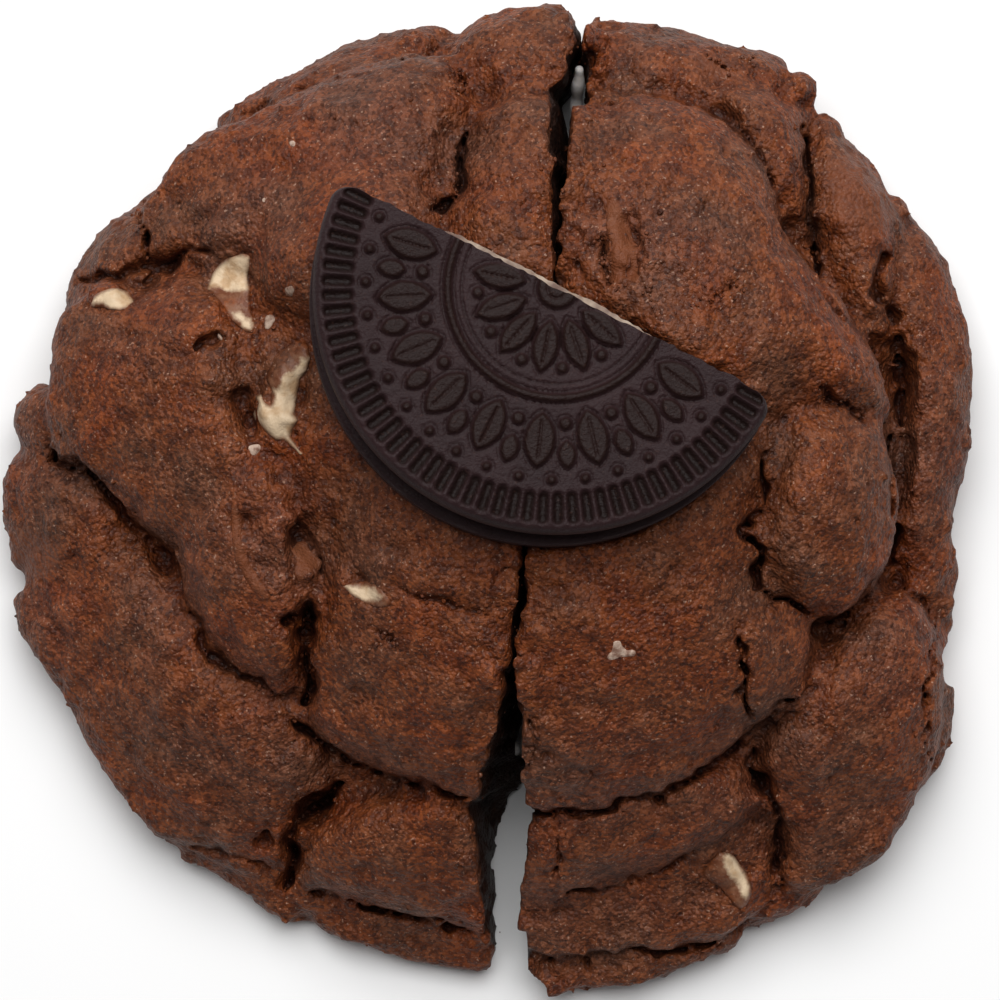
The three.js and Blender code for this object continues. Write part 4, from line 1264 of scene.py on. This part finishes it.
def crumbs(name, spots, material, seed):
    """One mesh of small rough grains at (place, size) in millimetres."""
    draw = np.random.default_rng(seed)
    shape = bmesh.new()
    for spot, size in spots:
        finer = 2 if size > FINE_CRUMB else 1
        made = bmesh.ops.create_icosphere(shape, subdivisions=finer, radius=size * MM)
        stretch = draw.uniform(*CRUMB_STRETCH, 3)
        turn = Euler(draw.uniform(0, FULL_TURN, 3)).to_matrix()
        for vert in made["verts"]:
            jitter = 1 + draw.uniform(-CRUMB_JITTER, CRUMB_JITTER)
            vert.co = turn @ (Vector(stretch) * vert.co * jitter) + Vector(spot) * MM
    mesh = bpy.data.meshes.new(name)
    shape.to_mesh(mesh)
    shape.free()
    shade_smooth(mesh)
    return add_piece(name, mesh, material)


def drawn_size(draw, least, spread, power):
    """A crumb's radius: mostly near the least, and at most spread above it."""
    return least + spread * draw.random() ** power


CRUMB_COUNT = 160
COOKIE_PIXELS = 455  # radius of the part of the photograph in which they lie
draw = np.random.default_rng(SCATTER_SEED)
spots = []
while len(spots) < CRUMB_COUNT:
    pixel = draw.uniform(30, 970, 2)
    if np.hypot(*(pixel - PICTURE / 2)) > COOKIE_PIXELS:
        continue
    size = drawn_size(draw, 0.09, 0.22, 3)
    spots.append((on_dough(pixel, size * CRUMB_LIFT), size))
# More crumbs lie along the cracks and the cut, down to a least height.
FRAYED_COUNT = 420
LEAST_HEIGHT = 3.0
FRAYED = [route for route, _, _ in CRACKS.values()] + [LEDGES["block_left"][0], GAP_LEFT, GAP_RIGHT]
while len(spots) < CRUMB_COUNT + FRAYED_COUNT:
    route = FRAYED[draw.integers(len(FRAYED))]
    k = draw.integers(len(route) - 1)
    pixel = np.array(route[k]) + draw.random() * np.subtract(route[k + 1], route[k]) + draw.normal(0, 5, 2)
    size = drawn_size(draw, 0.1, 0.2, 2)
    spot = on_dough(pixel, size * CRUMB_LIFT)
    if spot[2] > LEAST_HEIGHT:
        spots.append((spot, size))
BACK_CRUMBS = [((569, 57), 3.0, 0.8), ((575, 60), 2.2, 0.9), ((582, 58), 2.6, 0.8), ((578, 64), 1.6, 0.7)]
# Painted light: a pale rod low in the back of the cut, in place of the lit floor seen there through the
# cut. Its two ends, in pixels and height.
PALE_ROD_ENDS = [((579, 70), 13.0), ((575, 122), 7.0)]
PALE_ROD_RADIUS, PALE_ROD_TAPER = 0.55, 0.3
PALE_ROD_ROUGH, PALE_ROD_WAVE = 0.25, 1.4
spots += [(np.array([*place(pixel, height), height]), size) for pixel, height, size in BACK_CRUMBS]
crumbs("crumbs_dough", spots, DOUGH, CRUMB_SHAPE_SEED)


def pale_rod(name, ends, radius):
    """A rod that tapers from the first of its two ends to the last."""
    first, last = (np.array([*place(pixel, height), height]) for pixel, height in ends)
    low = np.minimum(first, last) - 2 * radius
    high = np.maximum(first, last) + 2 * radius
    axes = [np.arange(low[i], high[i], SLAB_VOXEL) for i in range(3)]
    spots = np.stack(np.meshgrid(*axes, indexing="ij"), axis=-1)
    run = last - first
    along = np.clip((spots - first) @ run / (run @ run), 0, 1)
    far = np.linalg.norm(spots - first - along[..., None] * run, axis=-1)
    rough = PALE_ROD_ROUGH * noise(axes, PALE_ROD_WAVE, PALE_ROD_SEED)
    values = far - radius * (1 - PALE_ROD_TAPER * along) + rough
    return Field(np.clip(values, -1, 1).astype(np.float32), low, SLAB_VOXEL).mesh(name)


# Painted light: the pale rod stands for lit floor in the back of the cut.
add_piece("painted_light_in_cut", pale_rod("painted_light_in_cut", PALE_ROD_ENDS, PALE_ROD_RADIUS), CORE)

# ---- Stage, light and camera, in metres ----
floor_mesh = bpy.data.meshes.new("floor")
FLOOR = 1.5
floor_mesh.from_pydata([(-FLOOR, -FLOOR, 0), (FLOOR, -FLOOR, 0), (FLOOR, FLOOR, 0), (-FLOOR, FLOOR, 0)], [],
                       [(0, 1, 2, 3)])
floor = bpy.data.objects.new("floor", floor_mesh)
bpy.context.scene.collection.objects.link(floor)
floor_material, _, floor_shader = nodes_of("pale_floor")
floor_shader.inputs["Base Color"].default_value = (0.87, 0.855, 0.84, 1)
floor_shader.inputs["Roughness"].default_value = 0.9
floor_mesh.materials.append(floor_material)

world = bpy.data.worlds.new("studio")
bpy.context.scene.world = world
world.use_nodes = True
world.node_tree.nodes["Background"].inputs["Color"].default_value = (0.95, 0.97, 1.0, 1)
world.node_tree.nodes["Background"].inputs["Strength"].default_value = 0.17


def area_light(name, spot, size, power, colour):
    light = bpy.data.lights.new(name, "AREA")
    light.size = size
    light.energy = power
    light.color = colour
    lamp = bpy.data.objects.new(name, light)
    lamp.location = spot
    lamp.rotation_euler = (Vector((0, 0, 0.02)) - Vector(spot)).to_track_quat("-Z", "Y").to_euler()
    bpy.context.scene.collection.objects.link(lamp)


area_light("window", (0.0, 0.5, 0.9), 0.9, 16.0, (0.97, 0.985, 1.0))

lens = bpy.data.cameras.new("camera")
lens.sensor_fit = "HORIZONTAL"
lens.angle = 2 * math.atan(PICTURE / 2 / FOCAL_PIXELS)
camera = bpy.data.objects.new("camera", lens)
camera.location = Vector((AXIS[0], AXIS[1], CAMERA_HEIGHT)) * MM
bpy.context.scene.collection.objects.link(camera)
bpy.context.scene.camera = camera
bpy.context.scene.view_settings.view_transform = "Standard"
